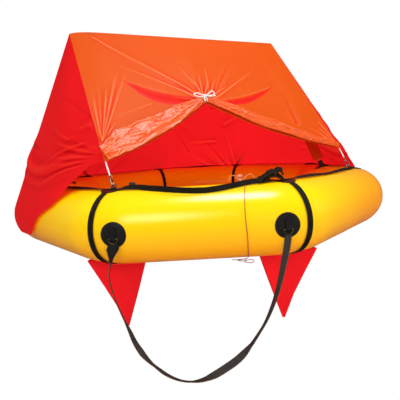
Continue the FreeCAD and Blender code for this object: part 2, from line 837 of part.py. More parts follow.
def foot_socket(side, label):
    """A cup on a round patch that takes a leg's end."""
    foot = foot_point(side)
    down = (foot - arch_corner(side)).normalize()
    cutter = primitive(
        "Part::Cylinder", "foot_cutter_" + label,
        Placement(Vector(foot.x, foot.y, tube_radius), Rotation()),
        Radius="sizes.patch_radius", Height="sizes.tube_radius * 2",
    )
    patch = common("foot_patch_" + label, patch_layer, cutter)
    rim = elbow_radius + 1
    height = size("foot_height")
    cup = Part.makeCone(rim + 5, rim, height + 6, foot + down * 6, down * -1)
    bottom = foot - down * (FOOT_SEAT - size("seat_gap"))
    bore = Part.makeCylinder(pole_radius + size("pole_fit"), height + 10, bottom, down * -1)
    raw = shaped("foot_cup_raw_" + label, cup.cut(bore))
    seated = cut("foot_cup_" + label, raw, glue_body)
    return fuse("foot_" + label, [patch, seated])


publish(foot_socket(-1, "left"), "foot_socket_left")
publish(foot_socket(1, "right"), "foot_socket_right")


SLEEVE_ACROSS = Vector(0.35, 1, 0)
SLEEVE_WALL = 1


def sleeve_shape(side):
    """A flat fabric sleeve round a leg, open at both ends."""
    corner = arch_corner(side)
    foot = foot_point(side)
    down = (foot - corner).normalize()
    top = corner + down * (size("elbow_bend") + size("elbow_socket") + 14)
    bottom = foot - down * (size("foot_height") + 8)
    length = (bottom - top).Length
    half_wide, half_thick = size("sleeve_width") / 2, size("sleeve_thick") / 2
    outer = Part.Ellipse(Vector(), half_wide, half_thick).toShape()
    inner = Part.Ellipse(Vector(), half_wide - SLEEVE_WALL, half_thick - SLEEVE_WALL).toShape()
    ring = Part.Face(Part.Wire(outer)).cut(Part.Face(Part.Wire(inner)))
    solid = ring.extrude(UP * length)
    solid.Placement = facing(down, SLEEVE_ACROSS * side, top)
    return solid


publish(shaped("sleeve_cloth_left", sleeve_shape(-1)), "leg_sleeve_left")
publish(shaped("sleeve_cloth_right", sleeve_shape(1)), "leg_sleeve_right")

# ---- canopy ties: D-ring, snap hook, sprung gate and shock cord at four corners -----

EYE_PLAY = 0.6
EYE_THINNING = 0.8
FORK_WIDTH = 7
FORK_SLOT = 2.8
KNUCKLE_WIDTH = 2.4
KNUCKLE_RADIUS = 1.7
GATE_STEM = 1
hook_frames = {}


def d_ring(name, bow_alias):
    """A D-ring: a straight bar with a half-round bow, in its own plane."""
    bow = size(bow_alias)
    bar = primitive(
        "Part::Cylinder", name + "_bar",
        Placement(Vector(-bow, 0, 0), Rotation(Vector(0, 1, 0), 90)),
        Radius="sizes.ring_wire", Height="2 * sizes." + bow_alias,
    )
    half = primitive(
        "Part::Torus", name + "_bow", Placement(Vector(), Rotation(Vector(1, 0, 0), 90)),
        Radius1="sizes." + bow_alias, Radius2="sizes.ring_wire",
    )
    half.Angle3 = 180
    pieces = [bar, half]
    for label, sign in (("left", -1), ("right", 1)):
        seat = Placement(Vector(sign * bow, 0, 0), Rotation())
        pieces.append(primitive("Part::Sphere", name + "_" + label, seat, Radius="sizes.ring_wire"))
    return fuse(name, pieces)


def hook_shape():
    """A snap hook's body: a long loop open on one side, an eye on top and a forked pivot."""
    wire, bend, side = size("hook_wire"), size("hook_bend"), size("hook_side")
    half = side / 2
    nose_end, spine_low = Vector(bend, 0, -half), Vector(-bend, 0, -half)
    spine_high, pivot = Vector(-bend, 0, half), Vector(bend, 0, half)
    path = Part.Wire([
        Part.Arc(nose_end, Vector(0, 0, -half - bend), spine_low).toShape(),
        Part.LineSegment(spine_low, spine_high).toShape(),
        Part.Arc(spine_high, Vector(0, 0, half + bend), pivot).toShape(),
    ])
    section = Part.Wire(Part.makeCircle(wire, nose_end, UP))
    loop = path.makePipeShell([section], True, False)
    nose = Part.makeSphere(wire, Vector(bend, 0, -half))
    eye_radius = size("cord_radius") + wire + EYE_PLAY
    eye_middle = Vector(0, 0, half + bend + wire + eye_radius)
    eye = Part.makeTorus(eye_radius, wire * EYE_THINNING, eye_middle, Vector(1, 0, 0))
    neck = Part.makeCylinder(wire, wire * 1.2, Vector(0, 0, half + bend + wire * 0.5))
    across = Vector(0, 1, 0)
    cheeks = Part.makeCylinder(wire + 1, FORK_WIDTH, pivot - across * (FORK_WIDTH / 2), across)
    slot = Part.makeBox(12, FORK_SLOT, 12, Vector(bend - 6, -FORK_SLOT / 2, half - 10.2))
    hole_radius = size("pin_radius") + size("pin_play")
    pin_hole = Part.makeCylinder(
        hole_radius, FORK_WIDTH + 2, pivot - across * (FORK_WIDTH / 2 + 1), across
    )
    frame = loop.fuse([nose, eye, neck, cheeks])
    return frame.cut(slot).cut(pin_hole).removeSplitter()


def gate_shape():
    """The hook's gate: a stepped bar turned from its free end up to its pivot knuckle."""
    half = size("hook_side") / 2
    bend, radius = size("hook_bend"), size("gate_radius")
    across = Vector(0, 1, 0)
    pivot = Vector(bend, 0, half)
    knuckle = Part.makeCylinder(KNUCKLE_RADIUS, KNUCKLE_WIDTH, pivot - across * (KNUCKLE_WIDTH / 2), across)
    pin_length = FORK_WIDTH - 0.4
    pin = Part.makeCylinder(size("pin_radius"), pin_length, pivot - across * (pin_length / 2), across)
    length = size("hook_side") - size("hook_wire") - size("seat_gap")
    low = half - length
    outline = (
        (0, low), (radius, low), (radius, half - 6), (GATE_STEM, half - 5), (GATE_STEM, half), (0, half),
    )
    points = [Vector(across_axis, 0, height) for across_axis, height in outline]
    face = Part.Face(Part.makePolygon(points + points[:1]))
    bar = face.revolve(Vector(), UP, TURN)
    bar.translate(Vector(bend, 0, 0))
    return bar.fuse([knuckle, pin]).removeSplitter()


def tie_set(index, end):
    """The D-ring, hook, gate and cord that hold one canopy corner down."""
    tag = CORNER_NAMES[index]
    point, outward = ring_point(index, 0)
    along = outward.cross(UP)
    bar = Vector(point.x, point.y, tab_axis_height()) + outward * ring_offset
    ring_up = (end - bar) - along * (end - bar).dot(along)
    ring = d_ring("tie_ring_" + tag, "ring_bow")
    ring.Placement = facing(ring_up, along, bar)
    publish(ring, "tie_ring_" + tag)
    pull = (end - bar).normalize()
    side = along.cross(pull).normalize()
    hook_low = size("hook_side") / 2 + size("hook_bend")
    inside = size("ring_bow") - size("ring_wire") - size("hook_wire") - size("seat_gap")
    middle = bar + pull * (inside + hook_low)
    frame = facing(pull, side, middle)
    hook_frames[tag] = frame
    publish(shaped("hook_body_" + tag, hook_shape(), frame), "tie_hook_" + tag)
    publish(shaped("hook_gate_body_" + tag, gate_shape(), frame), "hook_gate_" + tag)
    eye_top = hook_low + 3.8 * size("hook_wire") + 2 * (size("cord_radius") + EYE_PLAY)
    start = frame.multVec(Vector(0, 0, eye_top + size("seat_gap")))
    rod = primitive(
        "Part::Cylinder", "tie_cord_rod_" + tag, facing(end - start, side, start),
        Radius="sizes.cord_radius",
    )
    rod.Height = (end - start).Length - 2 * size("seat_gap")
    publish(rod, "tie_cord_" + tag)


CORD_INSET = 6.5
TIES = ((0, 0, corner_end), (2, 1, corner_end), (4, 1, back_tie_end), (6, 0, back_tie_end))
for tie_index, share, end_of in TIES:
    tie_inward = ring_point(tie_index, 0)[1] * -CORD_INSET
    tie_set(tie_index, end_of(tie_index, share) + tie_inward)

# The white cord that gathers the door flap, tied in a bow.
BOW_HALVES = (12, 40, 9)
BOW_UP = 18
BOW_SINK = 9.45
bow_hem, bow_ahead, bow_rise, bow_outward = hem_frame(TIE_PLACE)
bow_stand = roll_foot(TIE_PLACE) + ROLL_THICK + BOW_HALVES[2] - BOW_SINK
bow_centre = bow_hem + bow_rise * BOW_UP + bow_outward * bow_stand
tie_bow = doc.addObject("Part::Ellipsoid", "door_tie_bow")
tie_bow.Radius2, tie_bow.Radius3, tie_bow.Radius1 = BOW_HALVES[0], BOW_HALVES[1], BOW_HALVES[2]
tie_bow.Placement = facing(bow_outward, bow_rise, bow_centre)
publish(tie_bow, "door_tie")

# ---- boarding patches, rings and strap ----------------------------------------------


def boarding_frame(side):
    """The outward direction and centre of a boarding patch on the front of the tube."""
    turn = math.asin((size("board_across") - straight_side / 2) / (corner_radius + tube_radius))
    outward = direction(-90 + side * math.degrees(turn))
    point = Vector(side * straight_side / 2, corner_radius - apothem, tube_radius)
    return point + outward * (corner_radius + patch_top), outward


BOARD_DROP = 12
BOARD_PAD = 34


def boarding_patch(side, label):
    """A round patch on the front of the tube with a sewn tab for the ring's bar."""
    face, outward = boarding_frame(side)
    along = UP.cross(outward)
    cutter = primitive(
        "Part::Cylinder", "board_cutter_" + label,
        facing(outward, along, face - outward * (tube_radius / 2)),
        Radius="sizes.board_radius", Height="sizes.tube_radius",
    )
    patch = common("board_disc_" + label, patch_layer, cutter)
    centre = face + outward * (tab_bore + TAB_CLEAR) - UP * BOARD_DROP
    end = centre - along * (TAB_LENGTH / 2)
    barrel = Part.makeCylinder(tab_bore + TAB_WALL, TAB_LENGTH, end, along)
    pad = Part.makeBox(2 * tab_bore + TAB_WALL, TAB_LENGTH, BOARD_PAD)
    pad.Placement = Placement(end - outward * tab_bore, Rotation(outward, along, UP, "ZXY"))
    hole = Part.makeCylinder(tab_bore, TAB_LENGTH + 2, end - along, along)
    tab = shaped("board_tab_raw_" + label, barrel.fuse(pad).cut(hole))
    seated = cut("board_tab_" + label, tab, glue_body)
    publish(fuse("board_patch_" + label, [patch, seated]), "boarding_patch_" + label)
    ring = d_ring("board_ring_" + label, "board_bow")
    ring.Placement = facing(UP * -1, along, centre)
    publish(ring, "boarding_ring_" + label)
    return centre


left_eye = boarding_patch(-1, "left")
right_eye = boarding_patch(1, "right")


def rounded_path(points):
    """Straight runs joined by tangent arcs, each as large as its two runs allow."""
    edges = []
    radii = []
    last = points[0]
    for before, here, after in zip(points, points[1:], points[2:]):
        back_way = (before - here).normalize()
        fore_way = (after - here).normalize()
        shorter = min((before - here).Length, (after - here).Length)
        half = back_way.getAngle(fore_way) / 2
        back = 0.45 * shorter
        radius = back * math.tan(half)
        middle_way = (back_way + fore_way).normalize()
        centre = here + middle_way * (radius / math.sin(half))
        start = here + back_way * back
        edges.append(Part.LineSegment(last, start).toShape())
        last = here + fore_way * back
        edges.append(Part.Arc(start, centre - middle_way * radius, last).toShape())
        radii.append(radius)
    edges.append(Part.LineSegment(last, points[-1]).toShape())
    return Part.Wire(edges), radii


def check_cord(label, shape, section, path, radii):
    """Print a cord's radii and compare its volume with section times length."""
    expected = section * path.Length
    print("%s: length %.0f, least radius %.1f, volume ratio %.4f" % (
        label, path.Length, min(radii) if radii else 0, shape.Volume / expected,
    ))


# The gathered and taped left end of the boarding strap, hanging from its ring.
GATHER_LENGTH = 58
GATHER_LEAN = 14
GATHER_CLEAR = 0.7
GATHER_OVALS = ((0, 9, 3), (0.35, 13, 6), (1, 5, 4))
STRAP_END_CLEAR = 0.5
ring_foot = size("board_bow") + size("ring_wire") + size("seat_gap")
gather_top = left_eye - UP * (ring_foot + GATHER_CLEAR)
gather_end = gather_top - UP * GATHER_LENGTH - Vector(GATHER_LEAN, 0, 0)


def flat_oval(centre, way, half_across, half_deep):
    """A flat oval outline square to a way, wide across the raft's front."""
    oval = Part.Ellipse(Vector(), half_across, half_deep).toShape()
    oval.Placement = facing(way, Vector(1, 0, 0), centre)
    return Part.Wire(oval)


gather_way = (gather_end - gather_top).normalize()
gather_shape = Part.makeLoft([
    flat_oval(gather_top + (gather_end - gather_top) * share, gather_way, half_wide, half_deep)
    for share, half_wide, half_deep in GATHER_OVALS
], True, False)
publish(shaped("strap_gather_cloth", gather_shape), "strap_end_gather")

# The boarding strap's belly, as X and Z across the front of the raft.
STRAP_ROUTE = (
    (-301, -2), (-296, -48), (-284, -96), (-269, -143), (-252, -190), (-234, -240), (-208, -286),
    (-173, -327), (-131, -362), (-84, -383), (-35, -385), (14, -369), (58, -344), (101, -314),
    (138, -276), (168, -234), (195, -190), (217, -142), (235, -92), (249, -42), (260, 8), (271, 60),
)
strap_level = left_eye.y
strap_first = gather_end + gather_way * size("seat_gap")
strap_last = right_eye - UP * (ring_foot + STRAP_END_CLEAR)
strap_points = [strap_first]
strap_points += [Vector(x, strap_level, z) for x, z in STRAP_ROUTE]
strap_points += [strap_last]
strap_path, strap_radii = rounded_path(strap_points)
strap_start = (strap_points[1] - strap_points[0]).normalize()
strap_edge = Vector(0, 1, 0).cross(strap_start)
half_width, half_thick = size("strap_width") / 2, size("strap_thick") / 2
strap_corners = [
    strap_points[0] + Vector(0, 1, 0) * (a * half_thick) + strap_edge * (b * half_width)
    for a, b in ((-1, -1), (1, -1), (1, 1), (-1, 1))
]
strap_shell = Part.BRepOffsetAPI.MakePipeShell(strap_path)
strap_shell.setBiNormalMode(Vector(0, 1, 0))
strap_shell.add(Part.makePolygon(strap_corners + strap_corners[:1]), False, False)
strap_shell.build()
strap_shell.makeSolid()
strap_shape = strap_shell.shape()
strap_section = size("strap_width") * size("strap_thick")
check_cord("boarding strap", strap_shape, strap_section, strap_path, strap_radii)
publish(shaped("boarding_strap_band", strap_shape), "boarding_strap")

# ---- valves -------------------------------------------------------------------------


def spun(outline):
    """A closed solid turned round local Z from (radius, height) pairs."""
    points = [Vector(radius, 0, height) for radius, height in outline]
    face = Part.Face(Part.makePolygon(points + points[:1]))
    return face.revolve(Vector(), UP, TURN)


def tube_seat(across, lean):
    """A frame on the front side's skin: lean is the angle in from the top, in degrees."""
    level = Vector(across, -apothem, tube_radius)
    angle = math.radians(lean)
    normal = Vector(0, math.sin(angle), math.cos(angle))
    return facing(normal, Vector(1, 0, 0), level + normal * tube_radius)


TOPPING_ACROSS = -240
TOPPING_LEAN = 22
INFLATION_ACROSS = 150
INFLATION_LEAN = 14
FLANGE_RADIUS = 17
STEM_RADIUS = 7.5
BORE_RADIUS = 5
CAP_PLAY = 0.05
CAP_GROOVES = 12
COLLAR_BORE = 4.5
COLLAR_WIDE = FLANGE_RADIUS - 2
FLANGE_SEAT = size("seat_gap")

topping_frame = tube_seat(TOPPING_ACROSS, TOPPING_LEAN)
valve_outline = (
    (BORE_RADIUS, FLANGE_SEAT), (FLANGE_RADIUS, FLANGE_SEAT), (FLANGE_RADIUS, 3),
    (STEM_RADIUS + 1, 5), (STEM_RADIUS, 7), (STEM_RADIUS, 24), (BORE_RADIUS, 24),
)
publish(shaped("topping_stem", spun(valve_outline), topping_frame), "topping_valve_body")
cap_bore = STEM_RADIUS + CAP_PLAY
cap_outline = (
    (0, 24.3), (cap_bore, 24.3), (cap_bore, 14), (STEM_RADIUS + 3.2, 14),
    (STEM_RADIUS + 4, 16), (STEM_RADIUS + 4, 27), (STEM_RADIUS + 2.5, 29.5), (0, 29.5),
)
cap = spun(cap_outline)
for number in range(CAP_GROOVES):
    groove = Part.makeCylinder(1, 14, Vector(STEM_RADIUS + 4.4, 0, 15))
    groove.rotate(Vector(), UP, TURN / CAP_GROOVES * number)
    cap = cap.cut(groove)
publish(shaped("topping_cap_turned", cap, topping_frame), "topping_valve_cap")

inflation_frame = tube_seat(INFLATION_ACROSS, INFLATION_LEAN)
collar_outline = (
    (COLLAR_BORE, FLANGE_SEAT), (COLLAR_WIDE, FLANGE_SEAT), (COLLAR_WIDE, 2.8),
    (10, 5), (8.5, 8), (8.5, 16), (COLLAR_BORE, 16),
)
collar = shaped("inflation_collar", spun(collar_outline), inflation_frame)
publish(collar, "inflation_valve_body")
plunger_stem = COLLAR_BORE - CAP_PLAY
plunger_outline = (
    (0, 4), (plunger_stem, 4), (plunger_stem, 22), (9.5, 22), (10.5, 23.5), (10.5, 28), (8, 31), (0, 32),
)
plunger = shaped("inflation_button", spun(plunger_outline), inflation_frame)
publish(plunger, "inflation_valve_plunger")

# The thin lanyard: from the inflation valve over the front of the tube to below it.
LANYARD_RADIUS = 1.2
LANYARD_ROUTE = (
    (160.6, 14, 12), (163, -1, 9.5), (158, -17, 6.5), (151, -35, 5.5), (146, -53, 6), (143, -71, 5.5),
    (145, -89, 6), (149, -107, 5.5), (150, -125, 6), (157, -142, 6), (153, -157, 6.5),
    (136, -166, 7), (117, -164, 7.5), (102, -154, 8),
)


def lanyard_point(across, turn, clear):
    """A point off the tube's skin: turn is the angle from its top, inwards positive."""
    angle = math.radians(turn)
    normal = Vector(0, math.sin(angle), math.cos(angle))
    return Vector(across, -apothem, tube_radius) + normal * (tube_radius + clear)


lanyard_points = [lanyard_point(*values) for values in LANYARD_ROUTE]
lanyard_path, lanyard_radii = rounded_path(lanyard_points)
lanyard_section = Part.Wire(
    Part.makeCircle(LANYARD_RADIUS, lanyard_points[0], lanyard_points[1] - lanyard_points[0])
)
lanyard_shape = lanyard_path.makePipeShell([lanyard_section], True, False)
check_cord("lanyard", lanyard_shape, math.pi * LANYARD_RADIUS ** 2, lanyard_path, lanyard_radii)
publish(shaped("lanyard_cord", lanyard_shape), "valve_lanyard")

# ---- gas cylinder under the floor ---------------------------------------------------

cylinder_radius = size("cylinder_radius")
cylinder_length = size("cylinder_length")
cylinder_depth = -size("floor_thick") - size("cylinder_drop")
NECK_RADIUS = 14
NECK_LENGTH = 16
DOME = 34


def cylinder_profile():
    """Half the cylinder's section: a flat-bottomed dome, the wall, the shoulder and neck."""
    half = cylinder_length / 2
    base = Part.Arc(
        Vector(0, 0, -half - DOME), Vector(cylinder_radius * 0.78, 0, -half - DOME * 0.62),
        Vector(cylinder_radius, 0, -half),
    )
    wall = Part.LineSegment(Vector(cylinder_radius, 0, -half), Vector(cylinder_radius, 0, half))
    shoulder = Part.Arc(
        Vector(cylinder_radius, 0, half), Vector(cylinder_radius * 0.8, 0, half + DOME * 0.6),
        Vector(NECK_RADIUS, 0, half + DOME),
    )
    top = half + DOME + NECK_LENGTH
    neck = Part.LineSegment(Vector(NECK_RADIUS, 0, half + DOME), Vector(NECK_RADIUS, 0, top))
    cap_line = Part.LineSegment(Vector(NECK_RADIUS, 0, top), Vector(0, 0, top))
    axis = Part.LineSegment(Vector(0, 0, top), Vector(0, 0, -half - DOME))
    edges = [item.toShape() for item in (base, wall, shoulder, neck, cap_line, axis)]
    return Part.Face(Part.Wire(edges))


cylinder_middle = Vector(size("cylinder_shift"), 0, cylinder_depth)
cylinder_frame = facing(Vector(1, 0, 0), Vector(0, 1, 0), cylinder_middle)
bottle = cylinder_profile().revolve(Vector(), UP, TURN)
publish(shaped("bottle", bottle, cylinder_frame), "gas_cylinder")

neck_end = cylinder_length / 2 + DOME + NECK_LENGTH
HEAD_RADIUS = 19
HEAD_LENGTH = 46
PIVOT_RADIUS = 3
PIVOT_PLAY = 0.05
PORT_RADIUS = 8
PORT_LENGTH = 30
PORT_COLLAR_RADIUS = 11
PORT_COLLAR_LENGTH = 20
head_start = neck_end + size("seat_gap")
head_main = Part.makeCylinder(HEAD_RADIUS, HEAD_LENGTH, Vector(0, 0, head_start))
port_root = Vector(0, 0, head_start + 20)
head_port = Part.makeCylinder(PORT_RADIUS, PORT_LENGTH, port_root, Vector(1, 0, 0))
port_collar = Part.makeCylinder(
    PORT_COLLAR_RADIUS, PORT_COLLAR_LENGTH, port_root, Vector(1, 0, 0)
)
ear_low = Vector(-HEAD_RADIUS - 14, -9, head_start + 12)
ears = Part.makeBox(20, 18, 22, ear_low)
ear_slot = Part.makeBox(16, 8.6, 26, Vector(-HEAD_RADIUS - 15, -4.3, head_start + 10))
pivot_place = Vector(-HEAD_RADIUS - 7, 0, head_start + 23)
pivot_hole = Part.makeCylinder(
    PIVOT_RADIUS + PIVOT_PLAY, 24, pivot_place - Vector(0, 12, 0), Vector(0, 1, 0)
)
head = head_main.fuse([head_port, port_collar, ears]).cut(ear_slot).cut(pivot_hole).removeSplitter()
publish(shaped("operating_head_block", head, cylinder_frame), "operating_head")
lever_hub = Part.makeCylinder(6, 8, pivot_place - Vector(0, 4, 0), Vector(0, 1, 0))
lever_pin = Part.makeCylinder(PIVOT_RADIUS, 18, pivot_place - Vector(0, 9, 0), Vector(0, 1, 0))
lever_arm = Part.makeBox(5, 8, 44, pivot_place + Vector(-5, -4, 0))
lever_hole = Part.makeCylinder(1.8, 12, pivot_place + Vector(-2.5, -6, 38), Vector(0, 1, 0))
lever = lever_hub.fuse([lever_pin, lever_arm]).cut(lever_hole).removeSplitter()
publish(shaped("firing_lever_arm", lever, cylinder_frame), "firing_lever")

SLING_PLACES = (-105, 105)
SLING_TAB = 25


def sling_shape(place):
    """A webbing sling: down from the floor, round under the cylinder and up again."""
    inner = cylinder_radius + size("seat_gap")
    outer = inner + size("sling_thick")
    width = size("sling_width")
    rise = -cylinder_depth - size("floor_thick") - size("seat_gap")
    start = Vector(place - width / 2, 0, cylinder_depth)
    before = start - Vector(1, 0, 0)
    ring = Part.makeCylinder(outer, width, start, Vector(1, 0, 0))
    walls = Part.makeBox(width, 2 * outer, rise, start - Vector(0, outer, 0))
    flange_corner = start + Vector(0, -outer - SLING_TAB, rise - size("sling_thick"))
    flange = Part.makeBox(width, 2 * (outer + SLING_TAB), size("sling_thick"), flange_corner)
    hollow = Part.makeCylinder(inner, width + 2, before, Vector(1, 0, 0))
    way = Part.makeBox(width + 2, 2 * inner, rise + 1, before - Vector(0, inner, 0))
    return ring.fuse([walls, flange]).cut(hollow).cut(way).removeSplitter()


slings = [
    shaped("sling_%d" % number, sling_shape(size("cylinder_shift") + place))
    for number, place in enumerate(SLING_PLACES)
]
publish(group_of("slings", slings), "cylinder_slings")

# The inlet that takes the gas into the tube, low on its right side, outside the floor's rim.
INLET_RUN = 380
INLET_RISE = -58
inlet_point, inlet_out = ring_point(2, INLET_RUN)
inlet_seat = skin_point(inlet_point, inlet_out, INLET_RISE, tube_radius)
inlet_way = inlet_seat - Vector(inlet_point.x, inlet_point.y, tube_radius)
inlet_outline = (
    (3, FLANGE_SEAT), (FLANGE_RADIUS, FLANGE_SEAT), (FLANGE_RADIUS, 3), (9, 5), (9, 13),
    (6.5, 13), (6.5, 20), (3, 20),
)
inlet_frame = facing(inlet_way, UP.cross(inlet_out), inlet_seat)
publish(shaped("inlet_turned", spun(inlet_outline), inlet_frame), "gas_inlet")

# ---- checks and export --------------------------------------------------------------

doc.recompute()
for item in doc.Objects:
    if "Invalid" in item.State or "Error" in item.State:
        raise RuntimeError("failed feature: " + item.Name + " " + str(item.State))

os.makedirs("parts", exist_ok=True)
labels = set()
total_volume = 0
for item in node_objects:
    shape = item.Shape
    if item.Label in labels:
        raise RuntimeError("two sub-parts share the name " + item.Label)
    labels.add(item.Label)
    if shape.isNull() or not shape.isValid() or not shape.Solids:
        raise RuntimeError("bad shape: " + item.Label)
    total_volume += shape.Volume
    shape.exportStep(os.path.join("parts", item.Label + ".step"))
print("%d sub-parts, volume %.4f cubic metres" % (len(node_objects), total_volume / 1e9))
for tag, frame in hook_frames.items():
    pivot = frame.multVec(Vector(size("hook_bend"), 0, size("hook_side") / 2))
    axis = frame.Rotation.multVec(Vector(0, 1, 0))
    print("gate", tag, [round(v, 4) for v in pivot], [round(v, 5) for v in axis])
for tag, frame in (("topping", topping_frame), ("inflation", inflation_frame)):
    axis = frame.Rotation.multVec(UP)
    print("valve", tag, [round(v, 4) for v in frame.Base], [round(v, 5) for v in axis])
inlet_axis = inlet_frame.Rotation.multVec(UP)
print("inlet", [round(v, 4) for v in inlet_frame.Base], [round(v, 5) for v in inlet_axis])
port_mouth = cylinder_frame.multVec(Vector(PORT_LENGTH, 0, head_start + 20))
print("port", [round(v, 4) for v in port_mouth])
lever_pivot = cylinder_frame.multVec(pivot_place)
lever_axis = cylinder_frame.Rotation.multVec(Vector(0, 1, 0))
print("lever", [round(v, 4) for v in lever_pivot], [round(v, 5) for v in lever_axis])
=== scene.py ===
import json
import math
import bpy
import numpy as np
from mathutils import Matrix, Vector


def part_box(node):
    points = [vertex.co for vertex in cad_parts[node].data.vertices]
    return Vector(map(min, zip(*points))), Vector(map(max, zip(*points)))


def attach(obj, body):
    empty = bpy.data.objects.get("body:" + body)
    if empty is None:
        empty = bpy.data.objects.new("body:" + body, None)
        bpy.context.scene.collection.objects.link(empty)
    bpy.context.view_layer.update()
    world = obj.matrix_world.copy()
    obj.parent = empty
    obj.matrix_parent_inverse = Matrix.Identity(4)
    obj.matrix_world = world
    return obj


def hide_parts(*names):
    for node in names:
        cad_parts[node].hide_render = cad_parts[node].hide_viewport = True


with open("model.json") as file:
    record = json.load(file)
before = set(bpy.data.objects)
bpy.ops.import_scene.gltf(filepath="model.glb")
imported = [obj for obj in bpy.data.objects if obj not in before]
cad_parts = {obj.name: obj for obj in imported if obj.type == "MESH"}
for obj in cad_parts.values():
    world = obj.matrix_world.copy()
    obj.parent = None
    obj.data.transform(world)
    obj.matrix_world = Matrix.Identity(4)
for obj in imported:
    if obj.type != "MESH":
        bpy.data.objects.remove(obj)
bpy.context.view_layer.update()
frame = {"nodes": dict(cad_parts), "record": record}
print("frame loaded")

up = np.array([0.0, 0.0, 1.0])
tubeLow, tubeHigh = (np.array(corner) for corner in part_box("buoyancy_tube"))
tubeRadius = float(tubeHigh[2] - tubeLow[2]) / 2
apothem = float(tubeHigh[0]) - tubeRadius

raft = dict(cornerRadius=0.18, canopyLift=0.010, cornerLift=0.100, skirtTurn=28,
            ridgeTurn=20, ridgeLeft=0.612, ridgeRight=0.499, ridgeHeight=0.982, ridgeDrop=0.014,
            tie=(0.052, -0.322, 0.596), hemSag=0.028)
cornerCentre = (apothem - raft["cornerRadius"]) / math.cos(math.pi / 8)
straightSide = 2 * (apothem - raft["cornerRadius"]) * math.tan(math.pi / 8)
cornerArc = raft["cornerRadius"] * math.pi / 4
period = straightSide + cornerArc


def smooth(share):
    # 3 s^2 - 2 s^3, with s held between 0 and 1
    s = np.clip(share, 0, 1)
    return s * s * (3 - 2 * s)


def bump(value, middle, width):
    # exp(-((v - m) / w)^2)
    return np.exp(-((value - middle) / width) ** 2)


def level(turn):
    # (cos t, sin t, 0), t in radians
    return np.stack([np.cos(turn), np.sin(turn), np.zeros_like(turn)], -1)


def ringPoint(run):
    # the tube's centreline: arcs of 45 degrees round eight corner centres, joined by straights
    run = np.atleast_1d(np.asarray(run, float))
    index = np.floor(run / period)
    past = run - index * period
    corner = np.radians(-112.5 + 45 * index)
    turned = np.clip(past, 0, cornerArc / 2) + np.clip(past - cornerArc / 2 - straightSide, 0, None)
    outward = level(corner + turned / raft["cornerRadius"])
    after = past > cornerArc / 2 + straightSide
    centre = level(corner + np.where(after, math.pi / 4, 0)) * cornerCentre
    along = level(corner + math.pi / 8 + math.pi / 2)
    slid = np.where(after, 0, np.clip(past - cornerArc / 2, 0, straightSide))
    point = centre + outward * raft["cornerRadius"] + along * slid[:, None]
    return point + up * tubeRadius, outward


def skin(run, rise, clear=0.0):
    # centre + (r + clear) (cos a out + sin a up), a = rise in degrees
    point, outward = ringPoint(run)
    angle = np.radians(np.broadcast_to(np.asarray(rise, float), (len(point),)))[:, None]
    normal = outward * np.cos(angle) + up * np.sin(angle)
    return point + normal * (tubeRadius + np.reshape(clear, (-1, 1))), normal


def gridMesh(name, points, wrapDown=False, wrapAcross=False, fold=None):
    # quads between neighbours of a grid of points; fold, kept on each point, is the mask the materials tint
    # by: painted shade in hollows and painted highlight on crests of cloth, and the edges of webbing
    rows, columns = points.shape[:2]
    index = np.arange(rows * columns).reshape(rows, columns)
    if wrapDown:
        index = np.vstack([index, index[:1]])
    if wrapAcross:
        index = np.hstack([index, index[:, :1]])
    faces = np.stack([index[:-1, :-1], index[:-1, 1:], index[1:, 1:], index[1:, :-1]], -1)
    faces = faces.reshape(-1, 4).astype(np.int32)
    mesh = bpy.data.meshes.new(name)
    mesh.vertices.add(rows * columns)
    mesh.vertices.foreach_set("co", points.reshape(-1).astype(np.float32))
    mesh.loops.add(faces.size)
    mesh.loops.foreach_set("vertex_index", faces.reshape(-1))
    mesh.polygons.add(len(faces))
    mesh.polygons.foreach_set("loop_start", np.arange(0, faces.size, 4, dtype=np.int32))
    mesh.update(calc_edges=True)
    mesh.shade_smooth()
    if fold is not None:
        layer = mesh.attributes.new("fold", "FLOAT", "POINT")
        layer.data.foreach_set("value", np.ascontiguousarray(fold, np.float32).reshape(-1))
    piece = bpy.data.objects.new(name, mesh)
    bpy.context.scene.collection.objects.link(piece)
    return piece


def unit(rows):
    # v / |v|
    return rows / np.maximum(np.linalg.norm(rows, axis=-1, keepdims=True), 1e-9)


def sweep(name, path, section, upward, twist=0.0, closed=False, scale=1.0):
    # each section point: path + x side + y normal, side = way x normal, turned by twist about the way
    path = np.asarray(path, float)
    way = unit(np.roll(path, -1, 0) - np.roll(path, 1, 0)) if closed else unit(np.gradient(path, axis=0))
    upward = np.broadcast_to(np.asarray(upward, float), path.shape)
    side = unit(np.cross(way, upward))
    normal = np.cross(side, way)
    turn = np.broadcast_to(np.radians(twist), (len(path),))[:, None]
    first = side * np.cos(turn) + normal * np.sin(turn)
    second = normal * np.cos(turn) - side * np.sin(turn)
    size = np.broadcast_to(np.asarray(scale, float), (len(path),))[:, None, None]
    section = np.asarray(section, float)
    spread = first[:, None] * section[None, :, :1] + second[:, None] * section[None, :, 1:]
    points = path[:, None] + spread * size
    if not closed:
        points = np.concatenate([np.repeat(path[:1, None], len(section), 1), points,
                                 np.repeat(path[-1:, None], len(section), 1)])
    # fold marks the section's edges for the fold tint: brown edges on webbing, painted shade at the turned
    # edges of the canopy-cloth sleeves
    edge = np.abs(section[:, 0]) / np.abs(section[:, 0]).max()
    fold = np.broadcast_to(smooth((edge - 0.8) / 0.2), points.shape[:2])
    return gridMesh(name, points, wrapDown=closed, wrapAcross=True, fold=fold)


def roundSection(radius, count=12, deep=None):
    # (r cos a, d sin a)
    angle = np.arange(count) * 2 * math.pi / count
    return np.stack([np.cos(angle) * radius, np.sin(angle) * (deep or radius)], 1)


def webSection(width, thick):
    # a flat band with rounded edges: |x/w|^n + |y/t|^n = 1 with a large n
    angle = np.arange(28) * 2 * math.pi / 28
    across, depth = np.cos(angle), np.sin(angle)
    x = np.sign(across) * np.abs(across) ** 0.35 * width / 2
    y = np.sign(depth) * np.abs(depth) ** 0.5 * thick / 2
    return np.stack([x, y], 1)


